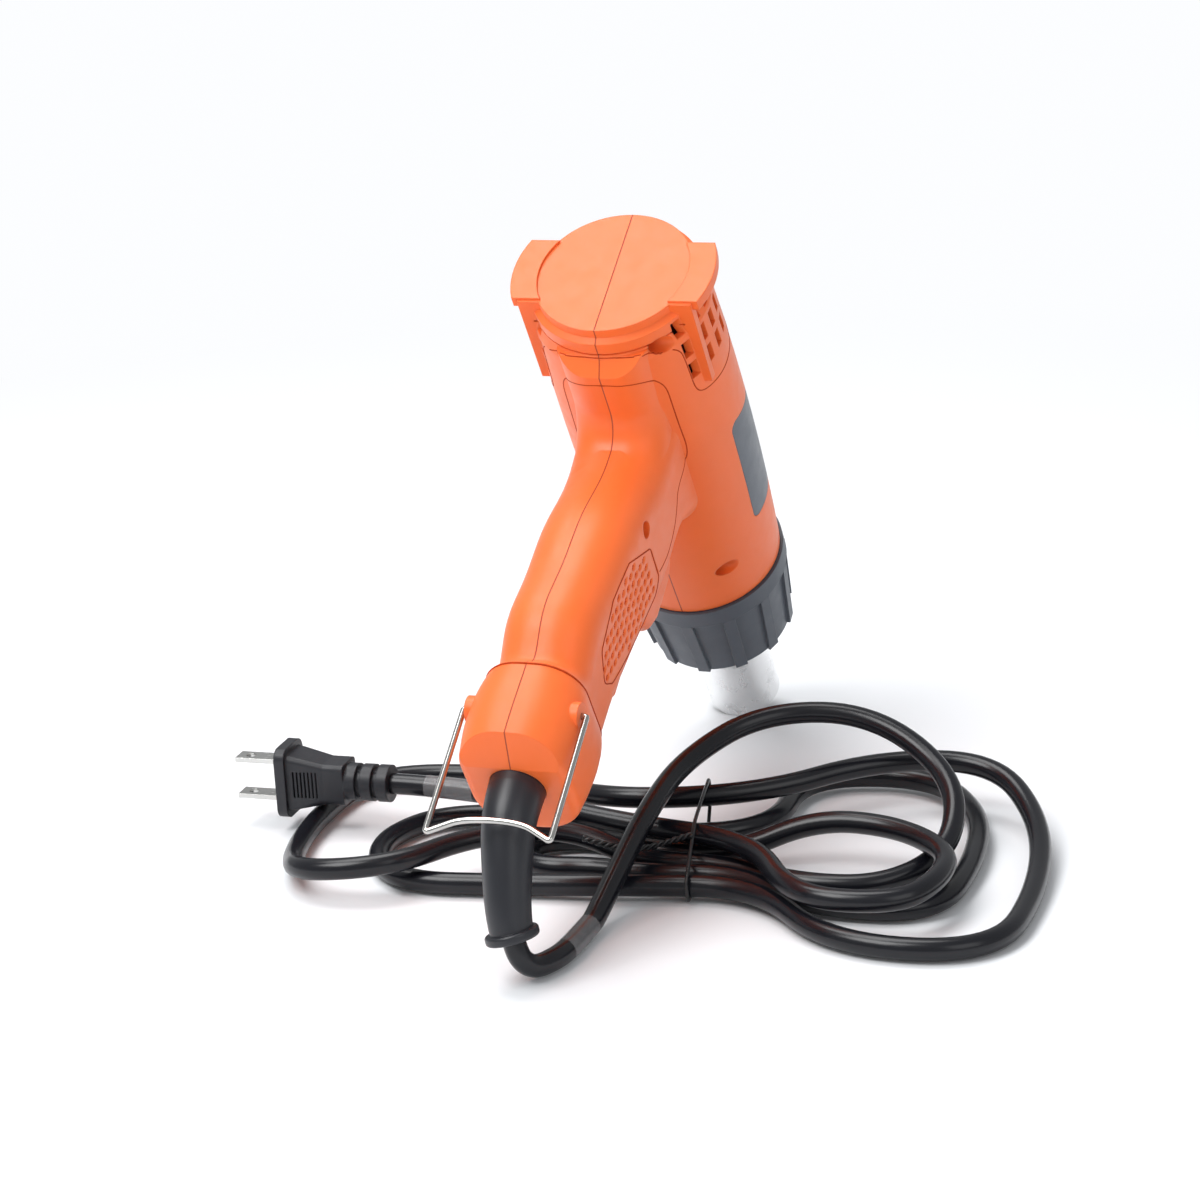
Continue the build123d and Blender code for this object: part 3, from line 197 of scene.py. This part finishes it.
def orange_material(name):
    """Satin orange plastic, with the line where the two shells meet on the middle plane."""
    graph = surface(name, ORANGE, 0.42, grain=0.00003, grain_scale=3400.0, specular=0.42, tint=0.035, edge=0.0005)
    shader = graph.shader
    base = shader.inputs["Base Color"].links[0].from_socket
    split = graph.add("ShaderNodeSeparateXYZ", {"Vector": graph.place})
    away = graph.calc("ABSOLUTE", split.outputs["Y"])
    line = graph.spread(away, 1.0, 0.0, *PARTING_EDGES)
    graph.link(graph.mix(line, base, (0.42, 0.040, 0.007)), shader.inputs["Base Color"])
    shader.inputs["Subsurface Weight"].default_value = 0.12
    shader.inputs["Subsurface Radius"].default_value = (0.004, 0.0012, 0.0005)
    shader.inputs["Subsurface Scale"].default_value = 0.6
    shader.inputs["Sheen Weight"].default_value = 0.08
    return graph.material


def nozzle_material():
    """Bright drawn steel with fine rings round the barrel's axis, a little heat tint and smudges."""
    graph = surface("nozzle_steel_look", (0.80, 0.80, 0.80), 0.20, metal=1.0, tint=0.04, edge=0.0002)
    shader = graph.shader
    turned = graph.add("ShaderNodeMapping", {"Vector": graph.place}, Rotation=(0.0, -PITCH, 0.0))
    split = graph.add("ShaderNodeSeparateXYZ", {"Vector": turned.outputs["Vector"]})
    rings = graph.add("ShaderNodeTexNoise", noise_dimensions="1D")
    graph.link(split.outputs["X"], rings.inputs["W"])
    rings.inputs["Scale"].default_value = 2600.0
    smudge = graph.noise(120.0, 5.0, 0.65)
    graph.link(graph.mix(graph.spread(smudge, 0.0, 0.55, 0.55, 0.7), (0.82, 0.82, 0.82), (0.45, 0.45, 0.44)),
               shader.inputs["Base Color"])
    graph.link(graph.spread(smudge, 0.16, 0.34), shader.inputs["Roughness"])
    graph.link(graph.bump(rings.outputs["Fac"], 0.00002, 0.35), shader.inputs["Normal"])
    return graph.material


def board_material():
    """Brown phenolic board with faint fibres."""
    graph = surface("board_look", (0.30, 0.17, 0.07), 0.5, grain=0.00005, grain_scale=900.0,
                    stretch=(1.0, 6.0, 1.0), tint=0.12)
    return graph.material


LOOKS = {
    "orange_plastic": orange_material("orange_plastic_look"),
    "grip_pad_orange": orange_material("grip_pad_look"),
    "slate_plastic": surface("slate_plastic_look", (0.075, 0.088, 0.108), 0.46, grain=0.00004, tint=0.06,
                             edge=0.0005, specular=0.45).material,
    "label_grey": surface("label_grey_look", (0.085, 0.10, 0.125), 0.36, grain=0.00002, grain_scale=5200.0,
                          edge=0.0002).material,
    "nozzle_steel": nozzle_material(),
    "mica": surface("mica_look", (0.36, 0.31, 0.22), 0.55, grain=0.00006, grain_scale=700.0, tint=0.2,
                    edge=0.0, stretch=(1.0, 1.0, 4.0)).material,
    "heater_wire": surface("heater_wire_look", (0.22, 0.20, 0.18), 0.4, metal=1.0, tint=0.25, edge=0.0).material,
    "cutout_metal": surface("cutout_metal_look", (0.55, 0.55, 0.53), 0.35, metal=1.0, edge=0.0002).material,
    "motor_steel": surface("motor_steel_look", (0.48, 0.49, 0.51), 0.3, metal=1.0, tint=0.08,
                           edge=0.0003).material,
    "bush_bronze": surface("bush_bronze_look", (0.50, 0.31, 0.12), 0.42, metal=1.0, grain=0.00003,
                           edge=0.0002).material,
    "shaft_steel": surface("shaft_steel_look", (0.62, 0.62, 0.63), 0.2, metal=1.0, edge=0.0001).material,
    "fan_plastic": surface("fan_plastic_look", (0.03, 0.03, 0.033), 0.42, grain=0.00003, edge=0.0002).material,
    "shroud_plastic": surface("shroud_plastic_look", (0.04, 0.04, 0.045), 0.5, grain=0.00004,
                              edge=0.0003).material,
    "board": board_material(),
    "switch_plastic": surface("switch_plastic_look", (0.02, 0.02, 0.022), 0.25, grain=0.00002, coat=0.2,
                              edge=0.0004).material,
    "screw_steel": surface("screw_steel_look", (0.20, 0.20, 0.21), 0.34, metal=1.0, grain=0.00003,
                           edge=0.0002).material,
    "clamp_plastic": surface("clamp_plastic_look", (0.03, 0.03, 0.03), 0.5, grain=0.00004, edge=0.0003).material,
    "cord_black": surface("cord_black_look", (0.0062, 0.0066, 0.0098), 0.25, grain=0.00001, grain_scale=1500.0,
                          tint=0.15, edge=0.0, specular=0.40, vary=0.012).material,
    "plug_black": surface("plug_black_look", (0.016, 0.017, 0.022), 0.44, grain=0.00005, grain_scale=3000.0,
                          tint=0.12, edge=0.0006, specular=0.45).material,
    "blade_steel": surface("blade_steel_look", (0.60, 0.60, 0.58), 0.24, metal=1.0, tint=0.06, edge=0.0003,
                           stretch=(6.0, 1.0, 6.0)).material,
    "tie_black": surface("tie_black_look", (0.012, 0.012, 0.013), 0.3, grain=0.00002, edge=0.0).material,
    "wire_insulation": surface("wire_insulation_look", (0.62, 0.62, 0.58), 0.45, grain=0.00002,
                               edge=0.0).material,
    "bail_wire": surface("bail_wire_look", (0.50, 0.49, 0.47), 0.16, metal=1.0, tint=0.04, edge=0.0).material,
    "relief_rubber": surface("relief_rubber_look", (0.011, 0.012, 0.017), 0.38, grain=0.00002,
                             grain_scale=2200.0, tint=0.12, edge=0.0004, specular=0.55, vary=0.02).material,
}

for row in frame["record"]["subparts"]:
    node = NODES[row["node"]]
    node.data.materials.clear()
    node.data.materials.append(LOOKS[row["material_slot"]])


def show(name, mesh, body, slot, material=None, smooth=True):
    """Links a mesh as a piece that rides a body and takes a slot's finish."""
    piece = bpy.data.objects.new(name, mesh)
    bpy.context.collection.objects.link(piece)
    if smooth and hasattr(mesh, "polygons"):
        mesh.polygons.foreach_set("use_smooth", [True] * len(mesh.polygons))
    mesh.materials.append(material or LOOKS[slot])
    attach(piece, body)
    return piece


# Cord, one line from the relief round the hank to the plug
CORD_RADIUS = 3.5
HANK_MIDDLE = Vector((-50.0 + SHIFT, -30.0, 0.0))
HANK_TURN = -79.5
TIE_ALONG = 3.0


def heading(turn, climb):
    """A direction in the hank's own plan, climbing by so many degrees."""
    angle = math.radians(HANK_TURN + turn)
    level = math.cos(math.radians(climb))
    return Vector((level * math.cos(angle), level * math.sin(angle), math.sin(math.radians(climb))))


def hank(along, away, height):
    """A place in the hank, in millimetres."""
    return HANK_MIDDLE + heading(0, 0) * along + heading(90, 0) * away + Vector((0, 0, height))


HANK_ROUTE = [
    (-24.1, -43.2, 4.0, 78, 0), (-22.0, -35.0, 5.6, 76, 22), (-8.0, 20.0, 25.2, 75, 11),
    (36.0, 60.0, 36.0, 1, 0), (83.0, 22.0, 14.0, -90, -24), (50.0, -8.0, 3.9, 177, 0),
    (0.0, 6.4, 5.0, 177, 1), (-52.0, 14.0, 12.8, 194, 0), (-106.0, -14.0, 11.0, 180, -4),
    (-129.0, 26.0, 3.9, 90, 0), (-98.0, 86.0, 4.6, 0, 0),
    (-2.0, 41.0, 14.0, 6, 0), (76.0, 66.0, 17.0, 0, 0), (110.0, 16.0, 6.0, -90, -6),
    (74.0, -56.0, 3.9, 174, 0),
    (0.0, -11.6, 5.0, 180, 0), (-76.0, -8.0, 3.9, 177, 0), (-101.0, 20.0, 3.9, 90, 0),
    (-74.0, 50.0, 3.9, 0, 0),
    (0.0, 31.5, 5.0, 6, 0), (54.0, 84.0, 4.6, 0, 0), (90.0, 32.0, 4.4, -90, 0),
    (60.0, -26.5, 3.9, 174, 0),
    (0.0, -2.9, 5.0, 180, 0), (-40.0, 5.0, 4.0, 180, 0), (-53.0, 17.5, 4.0, 90, 0),
    (-40.0, 28.5, 4.0, 0, 0),
    (0.0, 15.0, 5.1, 0, 0), (54.0, 15.0, 15.4, -14, 0), (82.0, -20.0, 14.4, -96, 0),
    (60.0, -42.0, 12.8, 171, 0),
    (0.0, 12.0, 13.2, 162, 0), (-95.08, 44.9, 16.5, 171, 0),
]
LEAD_ROUTE = [(-129.82, -6.99, 6.07), (-126.59, -9.15, 4.0), (-119.8, -12.3, 4.0)]
RELIEF_END = tool(71.2, -4.0, -202.4) / MM
RELIEF_WAY = tool_way(0.75, -0.25, -0.61).normalized()
BEND_STEP = 4.42
LEAD_LAST_RUN = 8.5


def reach_between(start, start_way, end, end_way):
    """How far two places' headings run before a smooth bend joins them."""
    chord = end - start
    square = 2 * (1 - start_way.dot(end_way))
    cross = 2 * chord.dot(start_way + end_way)
    return 2 * chord.dot(chord) / (cross + math.sqrt(cross ** 2 + 4 * square * chord.dot(chord)))


stops = [hank(*stop[:3]) for stop in HANK_ROUTE]
ways = [heading(*stop[3:]) for stop in HANK_ROUTE]
entry = stops[0] - ways[0] * 2 * CORD_RADIUS
PLUG_ENTRY = stops[-1] + ways[-1] * 2 * CORD_RADIUS
PLUG_WAY = ways[-1]
controls = [RELIEF_END, RELIEF_END + RELIEF_WAY * BEND_STEP]
controls += [Vector(place) + Vector((SHIFT, 0, 0)) for place in LEAD_ROUTE]
controls += [entry - ways[0] * LEAD_LAST_RUN]
for start, start_way, end, end_way in zip(stops, ways, stops[1:], ways[1:]):
    lever = reach_between(start, start_way, end, end_way)
    controls += [start + start_way * lever, end - end_way * lever]
controls += [PLUG_ENTRY]


def nurbs(name, points, radius, cyclic=False, resolution=10):
    """A smooth round curve through the pull of its points, given in millimetres."""
    curve = bpy.data.curves.new(name, "CURVE")
    curve.dimensions = "3D"
    spline = curve.splines.new("NURBS")
    spline.points.add(len(points) - 1)
    for target, point in zip(spline.points, points):
        target.co = (*(point * MM), 1.0)
    spline.use_cyclic_u = cyclic
    spline.order_u = 3
    spline.use_endpoint_u = not cyclic
    spline.resolution_u = resolution
    curve.bevel_depth = radius * MM
    curve.bevel_resolution = 6
    curve.use_fill_caps = not cyclic
    return curve


def follow(curve):
    """The points that a curve's own line passes, in millimetres."""
    bare = curve.copy()
    bare.bevel_depth = 0.0
    holder = bpy.data.objects.new("line", bare)
    bpy.context.collection.objects.link(holder)
    bpy.context.view_layer.update()
    mesh = bpy.data.meshes.new_from_object(holder)
    points = [vertex.co / MM for vertex in mesh.vertices]
    bpy.data.objects.remove(holder)
    bpy.data.meshes.remove(mesh)
    bpy.data.curves.remove(bare)
    return points


def length_of(points):
    """The length of a line of points."""
    return sum((after - before).length for before, after in zip(points, points[1:]))


cord_curve = nurbs("cord", controls, CORD_RADIUS)
cord_points = follow(cord_curve)
cord_length = length_of(cord_points)
cord = show("cord", cord_curve, "tool", "cord_black")


def tube(name, points, radius, sides=12, close=False, caps=True, swell=None):
    """A round tube along points in millimetres, its radius swelling along it if asked."""
    mesh = bpy.data.meshes.new(name)
    build = bmesh.new()
    rings = []
    side_way = None
    count = len(points)
    for i, point in enumerate(points):
        ahead = points[(i + 1) % count] if close else points[min(i + 1, count - 1)]
        behind = points[i - 1] if close else points[max(i - 1, 0)]
        forward = (ahead - behind).normalized()
        if side_way is None:
            side_way = forward.orthogonal().normalized()
        side_way = (side_way - forward * side_way.dot(forward)).normalized()
        other = forward.cross(side_way)
        wide = radius * (swell(i / (count - 1)) if swell else 1.0)
        rings.append([build.verts.new((point + (side_way * math.cos(turn) + other * math.sin(turn)) * wide) * MM)
                      for turn in (2 * math.pi * k / sides for k in range(sides))])
    pairs = list(zip(rings, rings[1:])) + ([(rings[-1], rings[0])] if close else [])
    for one, two in pairs:
        for k in range(sides):
            build.faces.new((one[k], one[(k + 1) % sides], two[(k + 1) % sides], two[k]))
    if caps and not close:
        build.faces.new(list(reversed(rings[0])))
        build.faces.new(rings[-1])
    bmesh.ops.recalc_face_normals(build, faces=build.faces)
    build.to_mesh(mesh)
    build.free()
    return mesh


# Twist tie, a coated wire round the waist whose ends are twisted together
TIE_RADIUS = 0.6
TIE_CORNER = 0.06
TAIL_RADIUS = 0.55
TAIL_APART = 0.58
TAIL_TURN_PER_MM = 1.35
TIE_LOOP = [(-14.5, 0.65), (33.5, 0.65), (46.8, 11.0), (45.6, 18.6), (8.0, 18.6), (-18.2, 8.0)]
TIE_TAIL = [(3.0, 1.0, 16.9), (-4.0, 1.0, 14.4), (-14.0, 1.0, 11.6), (-24.0, 1.8, 12.6), (-32.0, 4.0, 14.4)]
loop_points = []
for (one_away, one_up), (two_away, two_up) in zip(TIE_LOOP, TIE_LOOP[1:] + TIE_LOOP[:1]):
    for share in (TIE_CORNER, 1 - TIE_CORNER):
        loop_points.append(hank(TIE_ALONG, one_away + share * (two_away - one_away),
                                one_up + share * (two_up - one_up)))
ring_points = follow(nurbs("tie_ring_line", loop_points, TIE_RADIUS, cyclic=True))
tie_ring = show("tie_ring", tube("tie_ring", ring_points, TIE_RADIUS, close=True), "tool", "tie_black")
tail_points = follow(nurbs("tie_tail_line", [hank(*place) for place in TIE_TAIL], TIE_RADIUS, resolution=16))
for number in (0, 1):
    twisted = []
    travelled = 0.0
    for i, point in enumerate(tail_points):
        forward = (tail_points[min(i + 1, len(tail_points) - 1)] - tail_points[max(i - 1, 0)]).normalized()
        travelled += (point - tail_points[max(i - 1, 0)]).length
        side_way = forward.cross(Vector((0, 0, 1))).normalized()
        rise = side_way.cross(forward)
        turn = travelled * TAIL_TURN_PER_MM + number * math.pi
        twisted.append(point + (side_way * math.cos(turn) + rise * math.sin(turn)) * TAIL_APART)
    tail_name = f"tie_tail_{number}"
    show(tail_name, tube(tail_name, twisted, TAIL_RADIUS, sides=8), "tool", "tie_black")

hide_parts("cord_lead", "cord_hank")
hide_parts("twist_tie")


# Grip pads with rows of small elongated dimples, pressed into the surface of the seated pad, the deep faces of
# each dimple given a darker orange as painted shade
PAD_TOP = 65.0
PAD_BOTTOM = 122.6
DIMPLE_DEPTH = 0.75
DIMPLE_DOWN = 3.7
DIMPLE_ACROSS = 3.6
DIMPLE_HALF_LONG = 1.6
DIMPLE_HALF_WIDE = 1.05
DIMPLE_TOP = 72.0
DIMPLE_LAST_ROW = 12
DIMPLE_REAR_MARGIN = 2.6
DIMPLE_FRONT_MARGIN = 1.9
PAD_CAST = 40.0
PAD_REAR = 40.0
PAD_FRONT = 72.0
PAD_ROWS = 150
PAD_COLUMNS = 76
PAD_SCAN = 0.1
PAD_THICKNESS = 0.8
# Faces whose corners are pressed deeper than this in total take the painted shade of the dimple floor
PAINTED_SHADE_PRESS = 2.2
RIM_STEP = 0.7


def dimple_press(x, z, left, right):
    """How deep the pattern is pressed at a place, from 0 to 1."""
    drop = -z
    best = 0.0
    middle_row = round((drop - DIMPLE_TOP) / DIMPLE_DOWN)
    for row in (middle_row - 1, middle_row, middle_row + 1):
        if row < 0 or row > DIMPLE_LAST_ROW:
            continue
        row_drop = DIMPLE_TOP + row * DIMPLE_DOWN
        start = left(row_drop) + DIMPLE_REAR_MARGIN
        limit = right(row_drop) - DIMPLE_FRONT_MARGIN
        shift = (row % 2) * DIMPLE_ACROSS / 2
        column = max(0, round((x - start - shift) / DIMPLE_ACROSS))
        centre = start + shift + column * DIMPLE_ACROSS
        if centre > limit:
            continue
        span = math.hypot((x - centre) / DIMPLE_HALF_WIDE, (drop - row_drop) / DIMPLE_HALF_LONG)
        if span < 1.0:
            best = max(best, 1.0 - span ** 3)
    return best


def grip_pad(node_name, side):
    """A pad that follows the seated pad's outer face, with the dimples pressed into it."""
    node = NODES[node_name]
    corners = [vertex.co.copy() for vertex in node.data.vertices]
    faces = [tuple(face.vertices) for face in node.data.polygons]
    tree = BVHTree.FromPolygons(corners, faces)
    inward = Vector((0, -side, 0))

    def outer(x, drop):
        """The place on the pad's outer face, or None past its edge."""
        return tree.ray_cast(tool(x, side * PAD_CAST, -drop), inward)[0]

    steps = round((PAD_FRONT - PAD_REAR) / PAD_SCAN)
    edges = []
    for i in range(PAD_ROWS + 1):
        drop = PAD_TOP + (PAD_BOTTOM - PAD_TOP) * i / PAD_ROWS
        scan = [PAD_REAR + step * PAD_SCAN for step in range(steps)]
        inside = [x for x in scan if outer(x, drop) is not None]
        if len(inside) > 3:
            edges.append((drop, inside[0], inside[-1]))
    lefts = [(drop, low) for drop, low, high in edges]
    rights = [(drop, high) for drop, low, high in edges]

    def along(table):
        """How far forward an edge lies, as a function of the drop."""
        def value(drop):
            for (one, low), (two, high) in zip(table, table[1:]):
                if one <= drop <= two:
                    return low + (high - low) * (drop - one) / (two - one)
            return table[0][1] if drop < table[0][0] else table[-1][1]
        return value

    left, right = along(lefts), along(rights)
    build = bmesh.new()
    grid = []
    pressed = {}
    for drop, low, high in edges:
        line = []
        for j in range(PAD_COLUMNS + 1):
            x = low + PAD_SCAN / 2 + (high - low - PAD_SCAN) * j / PAD_COLUMNS
            tries = ((x, drop), (x + 0.06, drop), (x - 0.06, drop), (x, drop + PAD_SCAN), (x, drop - PAD_SCAN))
            hit = next((found for found in (outer(*spot) for spot in tries) if found is not None), None)
            if hit is None:
                hit = line[-1].co
            press = dimple_press(x, -drop, left, right)
            corner = build.verts.new(hit + inward * press * DIMPLE_DEPTH * MM)
            pressed[corner] = press
            line.append(corner)
        grid.append(line)
    for one, two in zip(grid, grid[1:]):
        for j in range(PAD_COLUMNS):
            face = build.faces.new((one[j], one[j + 1], two[j + 1], two[j]))
            # Deeply pressed faces take the second material, a painted shade for the hollow of the dimple
            face.material_index = int(sum(pressed[corner] for corner in face.verts) > PAINTED_SHADE_PRESS)
    rim = [line[0].co / MM for line in grid] + [line[-1].co / MM for line in reversed(grid)]
    border = [rim[0]]
    for place in rim[1:]:
        if (place - border[-1]).length > RIM_STEP:
            border.append(place)
    pad_borders["left" if side > 0 else "right"] = border[:-1]
    bmesh.ops.recalc_face_normals(build, faces=build.faces)
    mesh = bpy.data.meshes.new(node_name + "_dimpled")
    build.to_mesh(mesh)
    build.free()
    if mesh.polygons[len(mesh.polygons) // 2].normal.y * side < 0:
        mesh.flip_normals()
    piece = show(node_name + "_dimpled", mesh, "tool", "grip_pad_orange")
    # Second slot: the darker orange painted shade for the dimples' deep faces
    mesh.materials.append(PAINTED_PIT_SHADE)
    solid = piece.modifiers.new("thickness", "SOLIDIFY")
    solid.thickness = PAD_THICKNESS * MM
    solid.offset = -1.0
    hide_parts(node_name)
    return piece


def painted_pit_shade_material():
    """Deep orange painted shade for a dimple's floor, standing in for the shade that falls in the hollow."""
    graph = surface("pad_pit_painted_shade_look", (0.62, 0.062, 0.010), 0.6, grain=0.00003, specular=0.2, edge=0.0)
    return graph.material


PAINTED_PIT_SHADE = painted_pit_shade_material()
pad_borders = {}
grip_pad("grip_pad_left", 1)
grip_pad("grip_pad_right", -1)


# Wire bail, one smooth wire whose ends turn into the lugs
BAIL_SIDE = [(38.5, 14.0, -144.0), (38.5, 17.9, -144.0), (38.5, 19.4, -144.0), (38.6, 19.4, -145.6),
             (39.9, 19.4, -184.8), (40.0, 19.4, -188.1), (40.0, 16.4, -186.4), (40.0, 8.7, -182.2)]
BAIL_RADIUS = 0.95
bail_points = [tool(*place) / MM for place in BAIL_SIDE]
bail_points += [tool(x, -y, z) / MM for x, y, z in reversed(BAIL_SIDE)]
bail_line = follow(nurbs("bail_line", bail_points, BAIL_RADIUS, resolution=14))
bail = show("bail_wire", tube("bail_wire", bail_line, BAIL_RADIUS, sides=20), "bail", "bail_wire")
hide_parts("wire_bail")

# Fine seams moulded into the shells, laid into the surface that carries them
SADDLE_SEAM = [(17.8, 0.0, -31.8), (17.7, -6.1, -31.6), (19.2, -11.6, -28.9), (21.8, -14.7, -25.4),
               (25.0, -16.5, -23.7), (28.6, -17.2, -23.3), (33.3, -17.3, -23.4), (45.7, -17.6, -23.5),
               (54.4, -18.0, -23.3), (59.6, -17.3, -24.6), (60.8, -16.7, -28.0), (60.9, -16.5, -32.3),
               (61.8, -16.4, -36.7), (65.0, -16.3, -40.0), (68.0, -16.0, -45.0), (69.6, -15.8, -52.0),
               (69.4, -15.6, -59.0), (67.5, -15.6, -64.6)]
VENT_SEAM = [(13.9, -20.9, -19.2), (15.9, -22.7, -17.5), (21.2, -23.2, -17.2), (28.1, -23.5, -17.2),
             (34.0, -23.8, -17.1), (37.0, -24.8, -15.4), (38.0, -27.2, -10.6), (38.5, -29.0, -4.0),
             (38.2, -29.4, 3.0), (37.6, -28.4, 9.0), (35.8, -26.6, 13.2), (31.0, -25.6, 15.0),
             (20.0, -25.2, 15.4), (9.0, -24.4, 15.4)]
BAND_SEAM = [(13.0, 18.4, -21.4), (11.4, 16.4, -23.7), (10.1, 14.4, -25.5), (9.8, 11.6, -26.7), (9.8, 7.5, -27.2),
             (9.8, 0.0, -27.5)]
BAND_SEAM += [(x, -y, z) for x, y, z in reversed(BAND_SEAM[:-1])]
HEEL_SEAM_DROP = 133.0
HEEL_SEAM_MIDDLE = 50.4
HEEL_SEAM_STEPS = 120
HEEL_SEAM_START = 45.0
SEAM_RADIUS = 0.24
SEAM_SINK = 0.45


def seam_material():
    """The shaded orange at the bottom of a fine seam."""
    graph = Graph("seam_look")
    fleck = graph.noise(900.0, 2.0)
    graph.link(graph.mix(graph.spread(fleck, 0.0, 1.0), (0.40, 0.038, 0.007), (0.52, 0.055, 0.010)),
               graph.shader.inputs["Base Color"])
    graph.shader.inputs["Roughness"].default_value = 0.7
    graph.shader.inputs["Specular IOR Level"].default_value = 0.1
    return graph.material


SEAM = seam_material()
shell_corners = []
shell_faces = []
for shell in ("housing_left", "housing_right"):
    base = len(shell_corners)
    shell_corners += [vertex.co / MM for vertex in NODES[shell].data.vertices]
    shell_faces += [tuple(base + index for index in face.vertices) for face in NODES[shell].data.polygons]
shell_tree = BVHTree.FromPolygons(shell_corners, shell_faces)


def seam(name, places):
    """A thin dark line along places in the tool's frame, laid onto the shell and half sunk into it."""
    line = follow(nurbs(name + "_line", [tool(*place) / MM for place in places], SEAM_RADIUS, resolution=8))
    laid = []
    for point in line:
        spot, normal, _, _ = shell_tree.find_nearest(point)
        laid.append(spot - normal * SEAM_RADIUS * SEAM_SINK)
    return show(name, tube(name, laid, SEAM_RADIUS, sides=8), "tool", "orange_plastic", SEAM)


for side, turn in (("left", -1), ("right", 1)):
    seam("saddle_seam_" + side, [(x, turn * y, z) for x, y, z in SADDLE_SEAM])
    seam("vent_seam_" + side, [(x, turn * y, z) for x, y, z in VENT_SEAM])
seam("band_seam", BAND_SEAM)
heel_ring = []
for step in range(HEEL_SEAM_STEPS):
    turn = 2 * math.pi * step / HEEL_SEAM_STEPS
    outward = tool_way(math.cos(turn), math.sin(turn), 0.0)
    middle = tool(HEEL_SEAM_MIDDLE, 0.0, -HEEL_SEAM_DROP) / MM
    spot = shell_tree.ray_cast(middle + outward * HEEL_SEAM_START, -outward)[0]
    if spot is not None:
        heel_ring.append(spot + outward * 0.05)
show("heel_seam", tube("heel_seam", heel_ring, 0.3, sides=8, close=True), "tool", "orange_plastic", SEAM)
for side, border in pad_borders.items():
    show("pad_seam_" + side, tube("pad_seam_" + side, border, 0.2, sides=8, close=True), "tool",
         "orange_plastic", SEAM)


# Clear tape on the cord
def tape_material():
    """Thin clear film with soft creases."""
    graph = Graph("clear_tape_look")
    shader = graph.shader
    crease = graph.noise(260.0, 6.0, 0.7)
    graph.link(graph.mix(graph.spread(crease, 0.0, 1.0), (0.62, 0.63, 0.65), (0.9, 0.9, 0.92)),
               shader.inputs["Base Color"])
    shader.inputs["Roughness"].default_value = 0.16
    shader.inputs["Alpha"].default_value = 0.16
    shader.inputs["Specular IOR Level"].default_value = 0.8
    graph.link(graph.bump(crease, 0.0003, 0.6), shader.inputs["Normal"])
    return graph.material


TAPE = tape_material()


def wrinkle(share):
    """How far a sleeve of tape stands off at a share of its length."""
    return 1.0 + 0.012 * math.sin(19.0 * share) + 0.008 * math.sin(47.0 * share)


def tape(name, start, end, radius):
    """A thin sleeve of tape over the cord between two distances along it, in millimetres."""
    travelled = 0.0
    held = []
    for before, after in zip(cord_points, cord_points[1:]):
        travelled += (after - before).length
        if start <= travelled <= end:
            held.append(after)
    return show(name, tube(name, held, radius, sides=20, caps=False, swell=wrinkle), "tool", "cord_black", TAPE)


tape("lead_tape", 26.0, 46.0, 3.75)
tape("plug_tape", cord_length - 33.0, cord_length - 8.0, 3.7)


# Floor, world and lights
floor_mesh = bpy.data.meshes.new("floor")
floor_build = bmesh.new()
bmesh.ops.create_grid(floor_build, x_segments=4, y_segments=4, size=9.0)
floor_build.to_mesh(floor_mesh)
floor_build.free()
floor = bpy.data.objects.new("floor", floor_mesh)
bpy.context.collection.objects.link(floor)
floor_graph = Graph("floor_look")
floor_graph.link(floor_graph.mix(floor_graph.spread(floor_graph.noise(3.0), 0.0, 1.0), (0.905, 0.92, 0.945),
                                 (0.915, 0.93, 0.955)), floor_graph.shader.inputs["Base Color"])
floor_graph.shader.inputs["Roughness"].default_value = 0.62
floor_graph.shader.inputs["Specular IOR Level"].default_value = 0.25
# Far from the part the floor turns into plain white for what sees it, and lights nothing
far_white = floor_graph.add("ShaderNodeEmission", Color=(0.975, 0.985, 1.0, 1.0))
sight = floor_graph.add("ShaderNodeLightPath").outputs
seen = floor_graph.calc("MAXIMUM", sight["Is Camera Ray"],
                        floor_graph.calc("MAXIMUM", sight["Is Glossy Ray"], sight["Is Transmission Ray"]))
reach = floor_graph.add("ShaderNodeVectorMath", {0: floor_graph.place}, operation="LENGTH").outputs["Value"]
far = floor_graph.calc("MULTIPLY", seen, floor_graph.spread(reach, 0.0, 1.0, 0.28, 0.75))
blend = floor_graph.add("ShaderNodeMixShader", {0: far, 1: floor_graph.shader.outputs[0], 2: far_white.outputs[0]})
floor_graph.link(blend.outputs[0], floor_graph.output.inputs["Surface"])
floor_mesh.materials.append(floor_graph.material)
floor.location.z = -0.0002

world = bpy.data.worlds.new("world")
bpy.context.scene.world = world
world.use_nodes = True
room = world.node_tree
room.nodes["Background"].inputs["Color"].default_value = (0.97, 0.985, 1.0, 1.0)
room.nodes["Background"].inputs["Strength"].default_value = 0.44
backdrop = room.nodes.new("ShaderNodeBackground")
backdrop.inputs["Color"].default_value = (0.985, 0.99, 1.0, 1.0)
sighted = room.nodes.new("ShaderNodeLightPath")
chosen = room.nodes.new("ShaderNodeMixShader")
room.links.new(sighted.outputs["Is Camera Ray"], chosen.inputs[0])
room.links.new(room.nodes["Background"].outputs[0], chosen.inputs[1])
room.links.new(backdrop.outputs[0], chosen.inputs[2])
room.links.new(chosen.outputs[0], room.nodes["World Output"].inputs["Surface"])


def lamp(name, place, aim, size, power):
    """A soft square lamp that looks at a place."""
    data = bpy.data.lights.new(name, "AREA")
    data.size = size
    data.energy = power
    holder = bpy.data.objects.new(name, data)
    holder.location = place
    holder.rotation_euler = (Vector(aim) - Vector(place)).to_track_quat("-Z", "Y").to_euler()
    bpy.context.collection.objects.link(holder)


LAMPS = [
    ("key", (-0.75, 0.55, 1.35), (0.0, 0.0, 0.08), 0.8, 16.0),
    ("fill", (-0.9, -1.1, 0.9), (0.0, 0.0, 0.1), 1.0, 4.0),
    ("rim", (0.3, 0.45, 1.5), (0.0, 0.0, 0.1), 0.9, 13.0),
]
for row in LAMPS:
    lamp(*row)

bpy.context.scene.view_settings.view_transform = "Standard"
